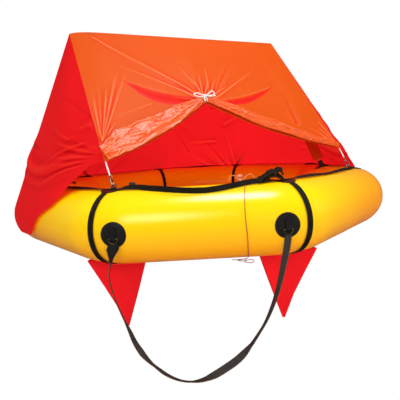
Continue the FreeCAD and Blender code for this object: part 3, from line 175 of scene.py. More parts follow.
def resample(points, step):
    # a smooth line through points: Catmull-Rom, then even steps along it
    points = np.asarray(points, float)
    ends = np.vstack([2 * points[0] - points[1], points, 2 * points[-1] - points[-2]])
    t = np.linspace(0, 1, 24, endpoint=False)[:, None]
    pieces = []
    for a, b, c, d in zip(ends, ends[1:], ends[2:], ends[3:]):
        pieces.append(0.5 * (2 * b + (c - a) * t + (2 * a - 5 * b + 4 * c - d) * t ** 2
                             + (3 * b - 3 * c + d - a) * t ** 3))
    line = np.vstack(pieces + [points[-1:]])
    far = np.concatenate([[0], np.cumsum(np.linalg.norm(np.diff(line, axis=0), axis=1))])
    count = max(4, int(round(far[-1] / step)))
    even = np.linspace(0, far[-1], count + 1)
    return np.stack([np.interp(even, far, line[:, k]) for k in range(3)], 1), far[-1]


def nurbs(name, points, radius):
    # an order 3 spline through its end points, with a round section
    curve = bpy.data.curves.new(name, "CURVE")
    curve.dimensions = "3D"
    curve.bevel_depth = radius
    curve.bevel_resolution = 3
    curve.use_fill_caps = True
    spline = curve.splines.new("NURBS")
    spline.points.add(len(points) - 1)
    flat = np.hstack([np.asarray(points, float), np.ones((len(points), 1))])
    spline.points.foreach_set("co", flat.reshape(-1))
    spline.order_u = 3
    spline.use_endpoint_u = True
    spline.resolution_u = 10
    piece = bpy.data.objects.new(name, curve)
    bpy.context.scene.collection.objects.link(piece)
    return piece


def splineLength(points):
    # length of the order 3 spline: arcs between the middles of the runs
    points = np.asarray(points, float)
    middles = (points[1:] + points[:-1]) / 2
    t = np.linspace(0, 1, 20)[:, None]
    total = np.linalg.norm(middles[0] - points[0]) + np.linalg.norm(points[-1] - middles[-1])
    for a, b, c in zip(middles, points[1:-1], middles[1:]):
        line = (1 - t) ** 2 * a + 2 * t * (1 - t) * b + t ** 2 * c
        total += np.linalg.norm(np.diff(line, axis=0), axis=1).sum()
    return float(total)


# materials

materials = {}
# painted shade: the range over which the tube's colour turns to its end tint, by distance across from the
# middle
paintedEndShade = dict(middle=-0.05, near=0.35, far=0.95, most=0.72)
creaseNoise = {"Scale": 14, "Detail": 4, "Distortion": 1.2}
creaseHeight, toothHeight = 0.006, 0.0006


def addNode(tree, kind, inputs, **settings):
    # a shader node with its settings, each input set to a value or linked to another node's output
    node = tree.nodes.new("ShaderNode" + kind)
    for name, value in settings.items():
        setattr(node, name, value)
    for name, value in inputs.items():
        if isinstance(value, bpy.types.NodeSocket):
            tree.links.new(value, node.inputs[name])
        else:
            node.inputs[name].default_value = value
    return node


def makeMaterial(name, base, second, blotch=3.0, rough=0.5, metal=0.0, grain=900.0, grainDepth=0.12,
                 weave=0.0, through=0.0, low=None, paintedLowShadeEdge=(0.0, 0.2), creases=0.0,
                 paintedShadeAndEdgeTint=None, paintedCrestHighlight=None, spec=0.5, paintedEndShadeTint=None):
    # base to second by blotchy noise; to low by height and to the end tint by distance across, both painted
    # shade;
    # to the fold tints (painted shade in hollows, brown edges on webbing, painted highlight on crests) by the
    # fold attribute; bump = threads + fine grain, and wide creases on cloth
    material = bpy.data.materials.new(name)
    material.use_nodes = True
    tree = material.node_tree
    shader = tree.nodes["Principled BSDF"]
    place = addNode(tree, "TexCoord", {}).outputs["Object"]

    def share(value, edges, **settings):
        # from 0 at the first edge to its most at the second
        return addNode(tree, "MapRange", {"Value": value, **edges}, **settings).outputs["Result"]

    def blend(amount, first, other):
        # first (1 - amount) + other amount
        return addNode(tree, "Mix", {"Factor": amount, "A": first, "B": other},
                       data_type="RGBA").outputs["Result"]

    def apart(axis):
        # the place's own x, y or z
        return addNode(tree, "SeparateXYZ", {"Vector": place}).outputs[axis]

    def noise(**inputs):
        # fractal noise about the object's origin
        return addNode(tree, "TexNoise", {"Vector": place, **inputs}).outputs["Fac"]

    spots = share(noise(Scale=blotch, Detail=5), {"From Min": 0.35, "From Max": 0.65})
    colour = blend(spots, (*base, 1), (*second, 1))
    # painted shade: more of the low tint towards the bottom
    if low is not None:
        rise = share(apart("Z"), {"From Min": paintedLowShadeEdge[0], "From Max": paintedLowShadeEdge[1]},
                     interpolation_type="SMOOTHSTEP")
        colour = blend(rise, (*low, 1), colour)
    # painted shade: more of the end tint away from the middle
    if paintedEndShadeTint is not None:
        aside = addNode(tree, "Math", {0: apart("X"), 1: -paintedEndShade["middle"]})
        distance = addNode(tree, "Math", {0: aside.outputs["Value"]}, operation="ABSOLUTE")
        far = share(distance.outputs["Value"], {"From Min": paintedEndShade["near"], "From Max": paintedEndShade["far"],
                                                "To Max": paintedEndShade["most"]}, interpolation_type="SMOOTHSTEP")
        colour = blend(far, colour, (*paintedEndShadeTint, 1))
    # fold tints: the first is painted shade in hollows (a brown edge on webbing), the second painted highlight
    # on crests
    for tint, most in ((paintedShadeAndEdgeTint, 1.0), (paintedCrestHighlight, -1.0)):
        if tint is not None:
            layer = addNode(tree, "Attribute", {}, attribute_name="fold")
            colour = blend(share(layer.outputs["Fac"], {"From Max": most}), colour, (*tint, 1))
    height = noise(Scale=grain, Detail=3)
    if weave:
        waves = [addNode(tree, "TexWave", {"Vector": place, "Scale": weave, "Distortion": 0.4},
                         bands_direction=axis).outputs["Fac"] for axis in ("X", "Z")]
        threads = addNode(tree, "Math", dict(enumerate(waves)), operation="MULTIPLY")
        height = addNode(tree, "Math", {0: threads.outputs["Value"], 1: height},
                         operation="ADD").outputs["Value"]
    normal = addNode(tree, "Bump", {"Strength": grainDepth, "Distance": toothHeight,
                                    "Height": height}).outputs["Normal"]
    if creases:
        normal = addNode(tree, "Bump", {"Strength": creases, "Distance": creaseHeight,
                                        "Height": noise(**creaseNoise), "Normal": normal}).outputs["Normal"]
    tree.links.new(colour, shader.inputs["Base Color"])
    tree.links.new(normal, shader.inputs["Normal"])
    for socket, value in (("Roughness", rough), ("Metallic", metal), ("Specular IOR Level", spec)):
        shader.inputs[socket].default_value = value
    if through:
        glow = addNode(tree, "BsdfTranslucent", {"Color": colour, "Normal": normal})
        both = addNode(tree, "MixShader", {"Fac": through, 1: shader.outputs["BSDF"],
                                           2: glow.outputs["BSDF"]})
        tree.links.new(both.outputs["Shader"], tree.nodes["Material Output"].inputs["Surface"])
    return material


palette = {
    # the low and end tints are painted shade: the yellow turns orange low down and towards both ends
    "tube_fabric": dict(base=(1.0, 0.70, 0.0), second=(1.0, 0.67, 0.0), blotch=2.0, rough=0.22, spec=0.32,
                        grain=700, grainDepth=0.04, low=(1.0, 0.23, 0.002), paintedLowShadeEdge=(-0.07, 0.235),
                        paintedEndShadeTint=(1.0, 0.21, 0.002)),
    # the fold tints are painted shade in hollows and under the swags, and painted highlight on crests
    "canopy_orange": dict(base=(0.75, 0.106, 0.006), second=(0.73, 0.098, 0.005), rough=0.50, through=0.25,
                          spec=0.08, grain=1200, grainDepth=0.08, creases=0.05,
                          paintedShadeAndEdgeTint=(0.84, 0.022, 0.014), paintedCrestHighlight=(0.96, 0.24, 0.075)),
    # painted light: a lighter copy of the canopy cloth for the crumpled flap; its fold tints paint shade in
    # hollows and highlight on crests
    "flap_orange_painted_lit": dict(base=(0.86, 0.122, 0.016), second=(0.84, 0.110, 0.014), rough=0.36, through=0.18,
                        spec=0.30, grain=1200, grainDepth=0.08, creases=0.08,
                        paintedShadeAndEdgeTint=(0.86, 0.050, 0.020), paintedCrestHighlight=(0.97, 0.30, 0.120)),
    # painted shade: the same orange canopy cloth as a darker red copy, for the gables and back in shade; its
    # fold tints paint shade in hollows and highlight on crests
    "canopy_red": dict(base=(0.90, 0.014, 0.019), second=(0.88, 0.013, 0.018), rough=0.55, through=0.45,
                       spec=0.06, grain=1200, grainDepth=0.08, creases=0.06,
                       paintedShadeAndEdgeTint=(0.60, 0.003, 0.006), paintedCrestHighlight=(0.92, 0.034, 0.020)),
    "bag_fabric": dict(base=(0.99, 0.011, 0.017), second=(0.97, 0.010, 0.016), rough=0.6, through=0.25,
                       spec=0.10, grain=1200, grainDepth=0.08, creases=0.08, paintedShadeAndEdgeTint=(0.60, 0.005, 0.007)),
    "floor_fabric": dict(base=(0.9, 0.16, 0.02), second=(0.8, 0.12, 0.02), rough=0.6, spec=0.2),
    "patch_rubber": dict(base=(0.009, 0.008, 0.008), second=(0.014, 0.012, 0.011), blotch=30, rough=0.28,
                         spec=0.36, grain=1500, grainDepth=0.2),
    "webbing_black": dict(base=(0.009, 0.006, 0.004), second=(0.014, 0.010, 0.006), blotch=40, rough=0.7,
                          spec=0.14, weave=420, grainDepth=0.5, paintedShadeAndEdgeTint=(0.050, 0.026, 0.008)),
    "webbing_grey": dict(base=(0.042, 0.038, 0.036), second=(0.054, 0.046, 0.040), blotch=30, rough=0.7,
                         spec=0.16, weave=420, grainDepth=0.5, paintedShadeAndEdgeTint=(0.17, 0.085, 0.035)),
    "cord_white": dict(base=(0.88, 0.87, 0.85), second=(0.80, 0.78, 0.76), blotch=90, rough=0.6, weave=700,
                       grainDepth=0.6),
    "cord_orange": dict(base=(0.86, 0.22, 0.05), second=(0.75, 0.15, 0.03), blotch=90, rough=0.6, weave=700,
                        grainDepth=0.6),
    "lanyard_red": dict(base=(0.45, 0.025, 0.02), second=(0.30, 0.012, 0.012), blotch=90, rough=0.6,
                        grain=2500, grainDepth=0.5),
    "ring_steel": dict(base=(0.30, 0.29, 0.28), second=(0.20, 0.19, 0.18), blotch=60, rough=0.28, metal=1.0,
                       grain=2500, grainDepth=0.08),
    "ring_brass": dict(base=(0.36, 0.29, 0.10), second=(0.22, 0.18, 0.07), blotch=80, rough=0.38, metal=1.0,
                       grain=2500, grainDepth=0.1),
    "buckle_plastic": dict(base=(0.010, 0.010, 0.011), second=(0.018, 0.017, 0.017), blotch=50, rough=0.38),
    "pole_aluminium": dict(base=(0.62, 0.63, 0.64), second=(0.56, 0.57, 0.58), blotch=20, rough=0.35,
                           metal=1.0),
    "elbow_plastic": dict(base=(0.012, 0.012, 0.014), second=(0.020, 0.019, 0.020), blotch=50, rough=0.4),
    "plunger_plastic": dict(base=(0.84, 0.30, 0.22), second=(0.78, 0.24, 0.18), blotch=50, rough=0.4),
    "valve_plastic": dict(base=(0.80, 0.40, 0.26), second=(0.74, 0.36, 0.22), blotch=50, rough=0.4),
    "cylinder_paint": dict(base=(0.20, 0.22, 0.23), second=(0.17, 0.19, 0.20), blotch=12, rough=0.35),
    "head_brass": dict(base=(0.50, 0.36, 0.12), second=(0.42, 0.30, 0.10), blotch=40, rough=0.3, metal=1.0),
    "lever_paint": dict(base=(0.55, 0.03, 0.02), second=(0.48, 0.02, 0.02), blotch=40, rough=0.35),
}
for slotName, values in palette.items():
    materials[slotName] = makeMaterial(slotName, **values)
for part in frame["record"]["subparts"]:
    node = frame["nodes"].get(part["node"])
    if node is not None:
        node.data.materials.clear()
        node.data.materials.append(materials[part["material_slot"]])
print("materials made")


def dress(piece, slotName, *nodes, body="raft", look=None):
    # its finish, slot and body, and the solids that it stands for
    piece.data.materials.clear()
    piece.data.materials.append(materials[look or slotName])
    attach(piece, body)
    if nodes:
        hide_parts(*nodes)
    return piece


# buoyancy tube: drawn in a little under each girth strap, creased inside its corners

girthCorners = (0, 1, 4, 5)
tubeLook = dict(along=576, around=96, pinch=0.0016, pinchWidth=0.020, crease=0.0010, creasePitch=0.024)


def buildTube():
    # radius = r - pinch exp(-(d/w)^2) - crease |sin| on the inner side of a corner
    run = np.arange(tubeLook["along"]) * 8 * period / tubeLook["along"]
    angle = np.arange(tubeLook["around"]) * 2 * math.pi / tubeLook["around"]
    point, outward = ringPoint(run)
    corner = run - np.round(run / period) * period
    index = np.round(run / period) % 8
    girth = np.isin(index, girthCorners)
    pinch = tubeLook["pinch"] * np.where(girth, bump(corner, 0, tubeLook["pinchWidth"]), 0)
    inner = np.clip(-np.cos(angle), 0, 1) ** 1.5
    ripple = np.abs(np.sin(math.pi * corner / tubeLook["creasePitch"])) * bump(corner, 0, 0.055)
    wave = 0.0007 * np.sin(run / 0.11 + 1.3)[:, None] * np.sin(angle * 2 + run[:, None] * 3)
    radius = (tubeRadius - 0.0004 - pinch[:, None] - tubeLook["crease"] * ripple[:, None] * inner
              + np.minimum(wave, 0))
    normal = outward[:, None] * np.cos(angle)[None, :, None] + up * np.sin(angle)[None, :, None]
    points = point[:, None] + normal * radius[..., None]
    return gridMesh("tube_skin", points, wrapDown=True, wrapAcross=True)


dress(buildTube(), "tube_fabric", "buoyancy_tube")

# girth straps, from the patch round to the floor, outside and inside

girth = dict(width=0.022, thick=0.0016, stand=0.0012, rows=60,
             runs=(("outer", 72, -86), ("inner", 108, 266)))
for count, index in enumerate(girthCorners):
    for label, start, stop in girth["runs"]:
        rise = np.linspace(start, stop, girth["rows"])
        path, normal = skin(np.full(girth["rows"], index * period), rise, girth["stand"])
        section = webSection(girth["width"], girth["thick"])
        strap = sweep("girth_%s_%d" % (label, index), path, section, normal)
        dress(strap, "webbing_black", *(["girth_straps"] if label == "outer" and count == 0 else []))
print("tube made")

# lifeline: flat webbing over the tube, slipped out between its keepers, in places turned on edge

lifeline = dict(width=0.018, thick=0.0017, lean=(31, 9, -7, -6, 16, -8, 6, 10), lift=0.004,
                turned=(66, 22, 8, 12, 20, 10, 14, 18))


def buildLifeline():
    # lean = side's own lean sin^1.5(pi s), s = share of the way between two corners; the webbing turns
    # on edge by its side's own angle away from the keepers
    run = np.linspace(0, 8 * period, 960, endpoint=False)
    share = (run / period) % 1
    side = np.floor(run / period).astype(int) % 8
    lean = np.array(lifeline["lean"], float)[side] * np.sin(math.pi * share) ** 1.5
    turn = (-np.array(lifeline["turned"], float)[side] * smooth((share - 0.03) / 0.12)
            * smooth((0.97 - share) / 0.2))
    turn = turn * np.where(side == 0, 1 - 0.25 * bump(share, 0.62, 0.1), 0.6 + 0.4 * np.sin(run * 19))
    ripple = lifeline["lift"] * np.abs(np.sin(run * 13 + 2 * np.sin(run * 5))) * np.sin(math.pi * share) ** 2
    onEdge = np.abs(np.sin(np.radians(turn)))
    path, normal = skin(run, 90 - lean, 0.0034 + ripple * 0.6 + 0.45 * lifeline["width"] * onEdge)
    wide = 1 + 0.12 * (side == 0) * np.sin(math.pi * share)
    return sweep("lifeline_webbing", path, webSection(lifeline["width"], lifeline["thick"]), normal,
                 twist=turn, closed=True, scale=wide)


dress(buildLifeline(), "webbing_black", "lifeline")

# the bunch of webbing tails at the lifeline's buckle

buckleLow, buckleHigh = (np.array(corner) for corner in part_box("lifeline_buckle"))
buckleAt = (buckleLow + buckleHigh) / 2
bunchShift = (0.020, 0, 0)
bunch = (
    (((-0.052, -0.012, -0.004), (-0.032, -0.013, 0.006), (-0.014, -0.011, 0.014), (0.004, -0.008, 0.020),
      (0.018, -0.004, 0.019), (0.032, 0.000, 0.010), (0.046, 0.002, 0.001)),
     (-58, -66, -60, -52, -60, -40, -20), 0.025, 0.0068),
    (((0.004, -0.007, 0.014), (0.014, -0.009, 0.027), (0.026, -0.007, 0.035), (0.038, -0.003, 0.031),
      (0.044, 0.001, 0.017)), (-50, -60, -66, -56, -40), 0.020, 0.0060),
    (((-0.020, -0.010, 0.018), (-0.008, -0.013, 0.026), (0.006, -0.012, 0.030), (0.018, -0.010, 0.024)),
     (-40, -70, -62, -40), 0.018, 0.0050),
    (((-0.006, -0.012, 0.008), (-0.020, -0.018, 0.010), (-0.034, -0.024, 0.002), (-0.046, -0.030, -0.008)),
     (-30, -50, -35, -20), 0.018, 0.0020))
for count, (spots, turns, wide, thick) in enumerate(bunch):
    path, _ = resample(buckleAt + np.array(spots) + bunchShift, 0.002)
    turn = np.interp(np.linspace(0, 1, len(path)), np.linspace(0, 1, len(turns)), turns)
    swell = 1 + 0.10 * np.sin(np.arange(len(path)) * 0.9 + count)
    tail = sweep("lifeline_tail_%d" % count, path, webSection(wide, thick), up, twist=turn, scale=swell)
    dress(tail, "webbing_black")

# canopy

ridgeWay = level(np.radians(np.array(float(raft["ridgeTurn"]))))
ridgeSide = np.cross(up, ridgeWay)
tiePoint = np.array(raft["tie"])


def ridgePoint(share):
    # along the ridge, lower by drop (1 - s)^26 at its left end
    share = np.atleast_1d(np.asarray(share, float))[:, None]
    along = -raft["ridgeLeft"] + share * (raft["ridgeLeft"] + raft["ridgeRight"])
    return ridgeWay * along + up * (raft["ridgeHeight"] - raft["ridgeDrop"] * (1 - share) ** 26)


def tiedFirst(place):
    # distance from the first corner: s
    return place


def tiedLast(place):
    # distance from the last corner: 1 - s
    return 1 - place


def tiedNowhere(place):
    # far from any tied corner: 1
    return np.ones_like(place)


def hungPanel(firstCorner, topOf, down, nearOf):
    # each ruling runs straight to the tube's skin and on round it by skirt (1 - ease) - lift;
    # near a tied corner, where nearOf is small, it aims at the tube's top and stops short of it
    place = np.linspace(0, 1, 2 * down)
    point, outward = ringPoint((firstCorner + 2 * place) * period)
    radius = tubeRadius + raft["canopyLift"]
    along = np.cross(up, outward)
    top = topOf(place)
    start = top - point
    out, rise, aside = (start * outward).sum(1), start[:, 2], (start * along).sum(1)
    tangent = np.arctan2(rise, out) - np.arccos(radius / np.hypot(out, rise))
    near = nearOf(place)
    aim = tangent + (math.pi / 2 - tangent) * (1 - smooth(near / 0.24))
    aimOut, aimRise = radius * np.cos(aim), radius * np.sin(aim)
    straight = np.hypot(aimOut - out, aimRise - rise)
    skirt = radius * (tangent + math.radians(raft["skirtTurn"])) * smooth((near - 0.2) / 0.19)
    total = straight + skirt - raft["cornerLift"] * (1 - smooth(near / 0.2))
    run = np.linspace(0, 1, down)[None, :] * total[:, None]
    part = run / straight[:, None]
    angle = aim[:, None] - (run - straight[:, None]) / radius
    on = run > straight[:, None]
    hereOut = np.where(on, radius * np.cos(angle), out[:, None] + (aimOut - out)[:, None] * part)
    hereRise = np.where(on, radius * np.sin(angle), rise[:, None] + (aimRise - rise)[:, None] * part)
    hereAside = np.where(on, 0, aside[:, None] * (1 - part))
    points = (point[:, None] + outward[:, None] * hereOut[..., None] + up * hereRise[..., None]
              + along[:, None] * hereAside[..., None])
    return points, outward, place


def hemPoint(place):
    # straight from each tied corner to the door tie, sagging by 4 sag s (1 - s)
    place = np.atleast_1d(np.asarray(place, float))
    left = place < 0.5
    share = np.where(left, place, 1 - place)[:, None] * 2
    start = np.where(left[:, None], cornerEnds[0], cornerEnds[1])
    return start + (tiePoint - start) * share - up * (raft["hemSag"] * 4 * share * (1 - share))


cornerEnds = []
for panelCorner, share in ((0, 0.0), (2, 1.0)):
    ends = hungPanel(panelCorner, lambda place: np.repeat(ridgePoint(share), len(place), 0), 8, tiedFirst)[0]
    cornerEnds.append(ends[0, -1])


def creases(across, rise, lines):
    # sum of depth (1 - t)^0.6 exp(-(d / w)^1.5) over lines (x0, z0, x1, z1, width, depth): d = distance
    # to the line, t = share of the way along it, w = its width, a third as much at its start; each line
    # rises from nothing over its first tenth
    total = np.zeros(np.broadcast(across, rise).shape)
    for x0, z0, x1, z1, width, depth in lines:
        dx, dz = x1 - x0, z1 - z0
        t = np.clip(((across - x0) * dx + (rise - z0) * dz) / (dx * dx + dz * dz), 0, 1)
        away = np.hypot(across - x0 - t * dx, rise - z0 - t * dz)
        deep = depth * (1 - t) ** 0.6 * smooth(t / 0.1 + 0.1)
        total += deep * np.exp(-(away / (width * (0.35 + 0.65 * t))) ** 1.5)
    return total


def fanLines(start, span, count, reach, width, depth, seed):
    # lines out of a gathered point, evenly spread in angle with a seeded shake, every other one inward
    chance = np.random.default_rng(seed)
    step = (span[1] - span[0]) / count
    turn = np.radians(np.linspace(*span, count) + chance.uniform(-0.4, 0.4, count) * step)
    far = reach * chance.uniform(0.35, 1.0, count)
    deep = depth * chance.uniform(0.5, 1.0, count) * np.where(np.arange(count) % 2, -0.7, 1)
    return np.stack([np.full(count, start[0]), np.full(count, start[1]), start[0] + far * np.cos(turn),
                     start[1] + far * np.sin(turn), width * chance.uniform(0.6, 1.3, count), deep], 1)


def strayLines(low, high, count, reach, lean, width, depth, seed):
    # short seeded lines anywhere in a rectangle, leaning up to lean degrees
    chance = np.random.default_rng(seed)
    x, z = chance.uniform(low[0], high[0], count), chance.uniform(low[1], high[1], count)
    turn = np.radians(chance.uniform(-lean, lean, count))
    far = reach * chance.uniform(0.3, 1.0, count) * np.where(chance.random(count) < 0.5, -1, 1)
    deep = depth * chance.uniform(0.4, 1.0, count) * np.where(chance.random(count) < 0.4, -0.8, 1)
    return np.stack([x, z, x + far * np.cos(turn), z + far * np.sin(turn),
                     width * chance.uniform(0.6, 1.4, count), deep], 1)


def swagFold(across, rise, fold):
    # a hanging fold: out grows as exp(-(h / a)^1.3) down to the fold's line, h above it, and falls
    # back under it by a smooth step
    line = np.polyval(np.polyfit(fold["across"], fold["rise"], 3), across)
    deep = np.interp(across, fold["across"], fold["deep"], left=0, right=0)
    under = np.interp(across, fold["across"], fold["under"])
    above = np.exp(-(np.clip(rise - line, 0, None) / fold["above"]) ** 1.3) * (rise >= line)
    below = smooth(1 - (line - rise) / under) * (rise < line)
    # painted shade on the fold's underside, just under its line
    paintedShade = smooth((line - rise) / (0.25 * under)) * smooth((line + -rise - under * 1.15) / (-0.3 * under))
    return deep * (above + below), paintedShade * np.clip(deep / 0.007, 0, 1)


def pressedIn(out, strength):
    # how hollow a displacement is: its second difference both ways, held between -1 and 1
    curve = sum(np.gradient(np.gradient(out, axis=axis), axis=axis) for axis in (0, 1))
    return np.clip(curve * strength, -1, 1)


def clothPiece(name, plain, out, outward, slotName, node, strength=900.0, paintedShade=0.0):
    # the plain cloth moved outward by its folds
    # fold: painted shade in hollows and under the hanging folds, painted highlight on crests
    fold = np.clip(pressedIn(out, strength) + paintedShade, -1, 1)
    piece = gridMesh(name, plain + outward * out[..., None], fold=fold)
    dress(piece, slotName, node)
    return piece


front = dict(
    columns=380, rows=240, belly=0.014,
    swags=(dict(across=(-0.420, -0.393, -0.344, -0.298, -0.245, -0.201, -0.152, -0.080, -0.055),
                rise=(0.722, 0.709, 0.684, 0.666, 0.653, 0.645, 0.636, 0.622, 0.616),
                deep=(0, 0.003, 0.010, 0.014, 0.016, 0.014, 0.010, 0.004, 0),
                under=(0.010, 0.020, 0.044, 0.056, 0.058, 0.052, 0.042, 0.020, 0.010), above=0.10),
           dict(across=(0.010, 0.033, 0.085, 0.155, 0.200, 0.235, 0.282, 0.325, 0.345),
                rise=(0.612, 0.615, 0.621, 0.634, 0.645, 0.655, 0.670, 0.684, 0.692),
                deep=(0, 0.003, 0.008, 0.012, 0.012, 0.010, 0.007, 0.003, 0),
                under=(0.008, 0.014, 0.030, 0.040, 0.038, 0.032, 0.024, 0.014, 0.008), above=0.09)),
    long=((-0.030, 0.603, -0.480, 0.925, 0.016, 0.0075), (-0.030, 0.603, -0.350, 0.770, 0.011, -0.0050),
          (-0.030, 0.603, -0.440, 0.800, 0.014, 0.0045), (-0.520, 0.960, -0.250, 0.740, 0.020, 0.0040),
          (-0.030, 0.603, -0.130, 0.790, 0.012, 0.0040), (-0.030, 0.603, 0.010, 0.800, 0.010, 0.0034),
          (-0.030, 0.603, 0.050, 0.725, 0.008, -0.0045), (-0.030, 0.603, 0.290, 0.790, 0.014, 0.0036),
          (-0.030, 0.603, 0.180, 0.850, 0.013, -0.0030), (0.402, 0.480, 0.398, 0.680, 0.030, -0.0045),
          (-0.300, 0.600, -0.520, 0.520, 0.024, 0.0030)))


def frontPanel():
    # straight from ridge to hem, bellied out by b sin^2(pi v), with hanging folds and creases
    place, down = np.linspace(0, 1, front["columns"]), np.linspace(0, 1, front["rows"])
    top, hem = ridgePoint(place), hemPoint(place)
    plain = top[:, None] + (hem - top)[:, None] * down[None, :, None]
    p, v = place[:, None], down[None, :]
    across, rise = (plain * ridgeWay).sum(-1), plain[..., 2]
    side = smooth(p / 0.12) * smooth((1 - p) / 0.12)
    out = side * front["belly"] * np.sin(math.pi * v) ** 2
    # painted shade under each hanging fold, passed on to the fold attribute
    paintedShade = np.zeros_like(out)
    for fold in front["swags"]:
        moved, paintedSwagShade = swagFold(across, rise, fold)
        out, paintedShade = out + moved, np.maximum(paintedShade, paintedSwagShade)
    left, right = ((end * ridgeWay).sum() for end in cornerEnds)
    tieX = float((tiePoint * ridgeWay).sum())
    lines = np.vstack([
        front["long"],
        fanLines((tieX, tiePoint[2] + 0.012), (8, 172), 19, 0.17, 0.0080, 0.0044, 3),
        fanLines((left + 0.004, cornerEnds[0][2] + 0.072), (64, 108), 13, 0.36, 0.0100, 0.0062, 5),
        fanLines((left + 0.004, cornerEnds[0][2] + 0.072), (22, 66), 7, 0.20, 0.0090, 0.0036, 8),
        fanLines((right, cornerEnds[1][2] + 0.02), (95, 160), 9, 0.20, 0.0090, 0.0036, 11)])
    out = out + creases(across, rise, lines) * smooth(p / 0.012) * smooth((1 - p) / 0.012)
    return clothPiece("canopy_front_cloth", plain, out * smooth(v / 0.04), -ridgeSide, "canopy_orange",
                      "canopy_front", strength=1400, paintedShade=paintedShade)


frontPanel()

gableRows, backRows = 176, 150
gables = dict(
    left=dict(corner=6, end=0.0, way=-ridgeWay, near=tiedLast, tied=1, seed=21),
    right=dict(corner=2, end=1.0, way=ridgeWay, near=tiedFirst, tied=0, seed=34))


def gablePanel(label, corner, end, way, near, tied, seed):
    # a hung panel: creases fan out of its tied corner, and soft folds sag across it from there
    def top(place):
        # the same end of the ridge for every ruling
        return np.repeat(ridgePoint(end), len(place), 0)
    plain, outward, place = hungPanel(corner, top, gableRows, near)
    p, v = place[:, None], np.linspace(0, 1, gableRows)[None, :]
    sideways = unit(np.cross(way, up))
    across, rise = (plain * sideways).sum(-1), plain[..., 2]
    knot = plain[-1 if tied else 0, -1]
    x, z = float((knot * sideways).sum()), float(knot[2])
    inward = 1 if plain[0 if tied else -1, -1] @ sideways > x else -1
    turn = (92, 150) if inward < 0 else (30, 88)
    lines = np.vstack([
        fanLines((x, z + 0.07), turn, 13, 0.40, 0.012, 0.0070, seed),
        fanLines((x, z + 0.02), (150, 205) if inward < 0 else (-25, 30), 9, 0.36, 0.014, 0.0065, seed + 1),
        strayLines((min(x, x + inward * 0.75), 0.34), (max(x, x + inward * 0.75), 0.62), 9, 0.26, 28,
                   0.032, 0.0085, seed + 2)])
    over = smooth((0.99 - v) / 0.10)
    sag = np.zeros_like(across)
    share = np.clip((across - x) * inward / 0.62, 0, 1)
    for height, deep, seat in ((0.100, 0.012, 0.16), (0.045, 0.009, 0.12), (-0.010, 0.007, 0.10)):
        line = z + height + 0.10 * share - 4 * seat * share * (1 - share)
        sag = sag + deep * np.sin(math.pi * share) * np.exp(-((rise - line) / 0.022) ** 2)
    edge = smooth(p / 0.02) * smooth((1 - p) / 0.02)
    out = (sag + creases(across, rise, lines)) * over * edge * smooth(v / 0.05)
    return clothPiece("canopy_%s_cloth" % label, plain, out, outward[:, None], "canopy_red",
                      "canopy_gable_" + label, strength=700)


for label, values in gables.items():
    gablePanel(label, **values)


def backPanel():
    # hung panel: shallow upright folds, and creases out of the ridge ends and the lower corners
    plain, outward, place = hungPanel(4, lambda place: ridgePoint(1 - place), backRows, tiedNowhere)
    p, v = place[:, None], np.linspace(0, 1, backRows)[None, :]
    edge = smooth(p / 0.1) * smooth((1 - p) / 0.1)
    out = edge * 0.006 * np.sin(p * 22 + 2 * np.sin(v * 4)) * smooth(v / 0.3) * smooth((0.9 - v) / 0.3)
    lines = [strayLines((-0.45, 0.34), (0.45, 0.80), 12, 0.34, 65, 0.030, 0.0070, 61)]
    for end, seed in ((0, 53), (-1, 57)):
        high, low = plain[end, 0], plain[end, -1]
        fromRidge = (-88, -35) if high[0] < 0 else (215, 268)
        fromCorner = (8, 70) if low[0] < 0 else (110, 172)
        lines.append(fanLines(high[[0, 2]], fromRidge, 9, 0.50, 0.022, 0.0070, seed))
        lines.append(fanLines(low[[0, 2]] + (0, 0.04), fromCorner, 11, 0.55, 0.024, 0.0090, seed + 1))
    out = out + creases(plain[..., 0], plain[..., 2], np.vstack(lines)) * (
        smooth((0.99 - v) / 0.10) * smooth(p / 0.02) * smooth((1 - p) / 0.02) * smooth(v / 0.05))
    return clothPiece("canopy_back_cloth", plain, out, outward[:, None], "canopy_red", "canopy_back",
                      strength=700)


backPanel()
print("canopy made")

# door flap, folded up along the hem and crumpled

flap = dict(places=(0.02, 0.1, 0.2, 0.3, 0.4, 0.47, 0.53, 0.6, 0.7, 0.8, 0.9, 0.98),
            widths=(0.070, 0.112, 0.112, 0.096, 0.074, 0.046, 0.044, 0.058, 0.062, 0.054, 0.042, 0.026),
            thick=0.016, clear=0.0042, sink=0.004)


def frontBelly(place, share):
    # allowance for the front cloth's own stand-out: 0.016 sin^2(pi s) + 0.014 pleats, none at the ends
    edge = smooth(place / 0.2) * smooth((1 - place) / 0.2)
    pleats = np.sin(place * 11 * math.pi) * smooth((share - 0.35) / 0.4) * (1 - share)
    return edge * (0.016 * math.sin(math.pi * share) ** 2 + 0.014 * pleats)


def hemFrame(place):
    # point on the hem, with ahead = hem slope, out = ahead x (ridge - hem) and rise = out x ahead
    hem = hemPoint(place)
    ahead = unit(hemPoint(place + 0.01) - hemPoint(place - 0.01))
    rise = unit(ridgePoint(place) - hem)
    outward = unit(np.cross(ahead, rise))
    outward = outward * np.where((outward * ridgeSide).sum(1) > 0, -1, 1)[:, None]
    rise = unit(np.cross(outward, ahead))
    rise = rise * np.where(rise[:, 2] < 0, -1, 1)[:, None]
    return hem, ahead, rise, outward


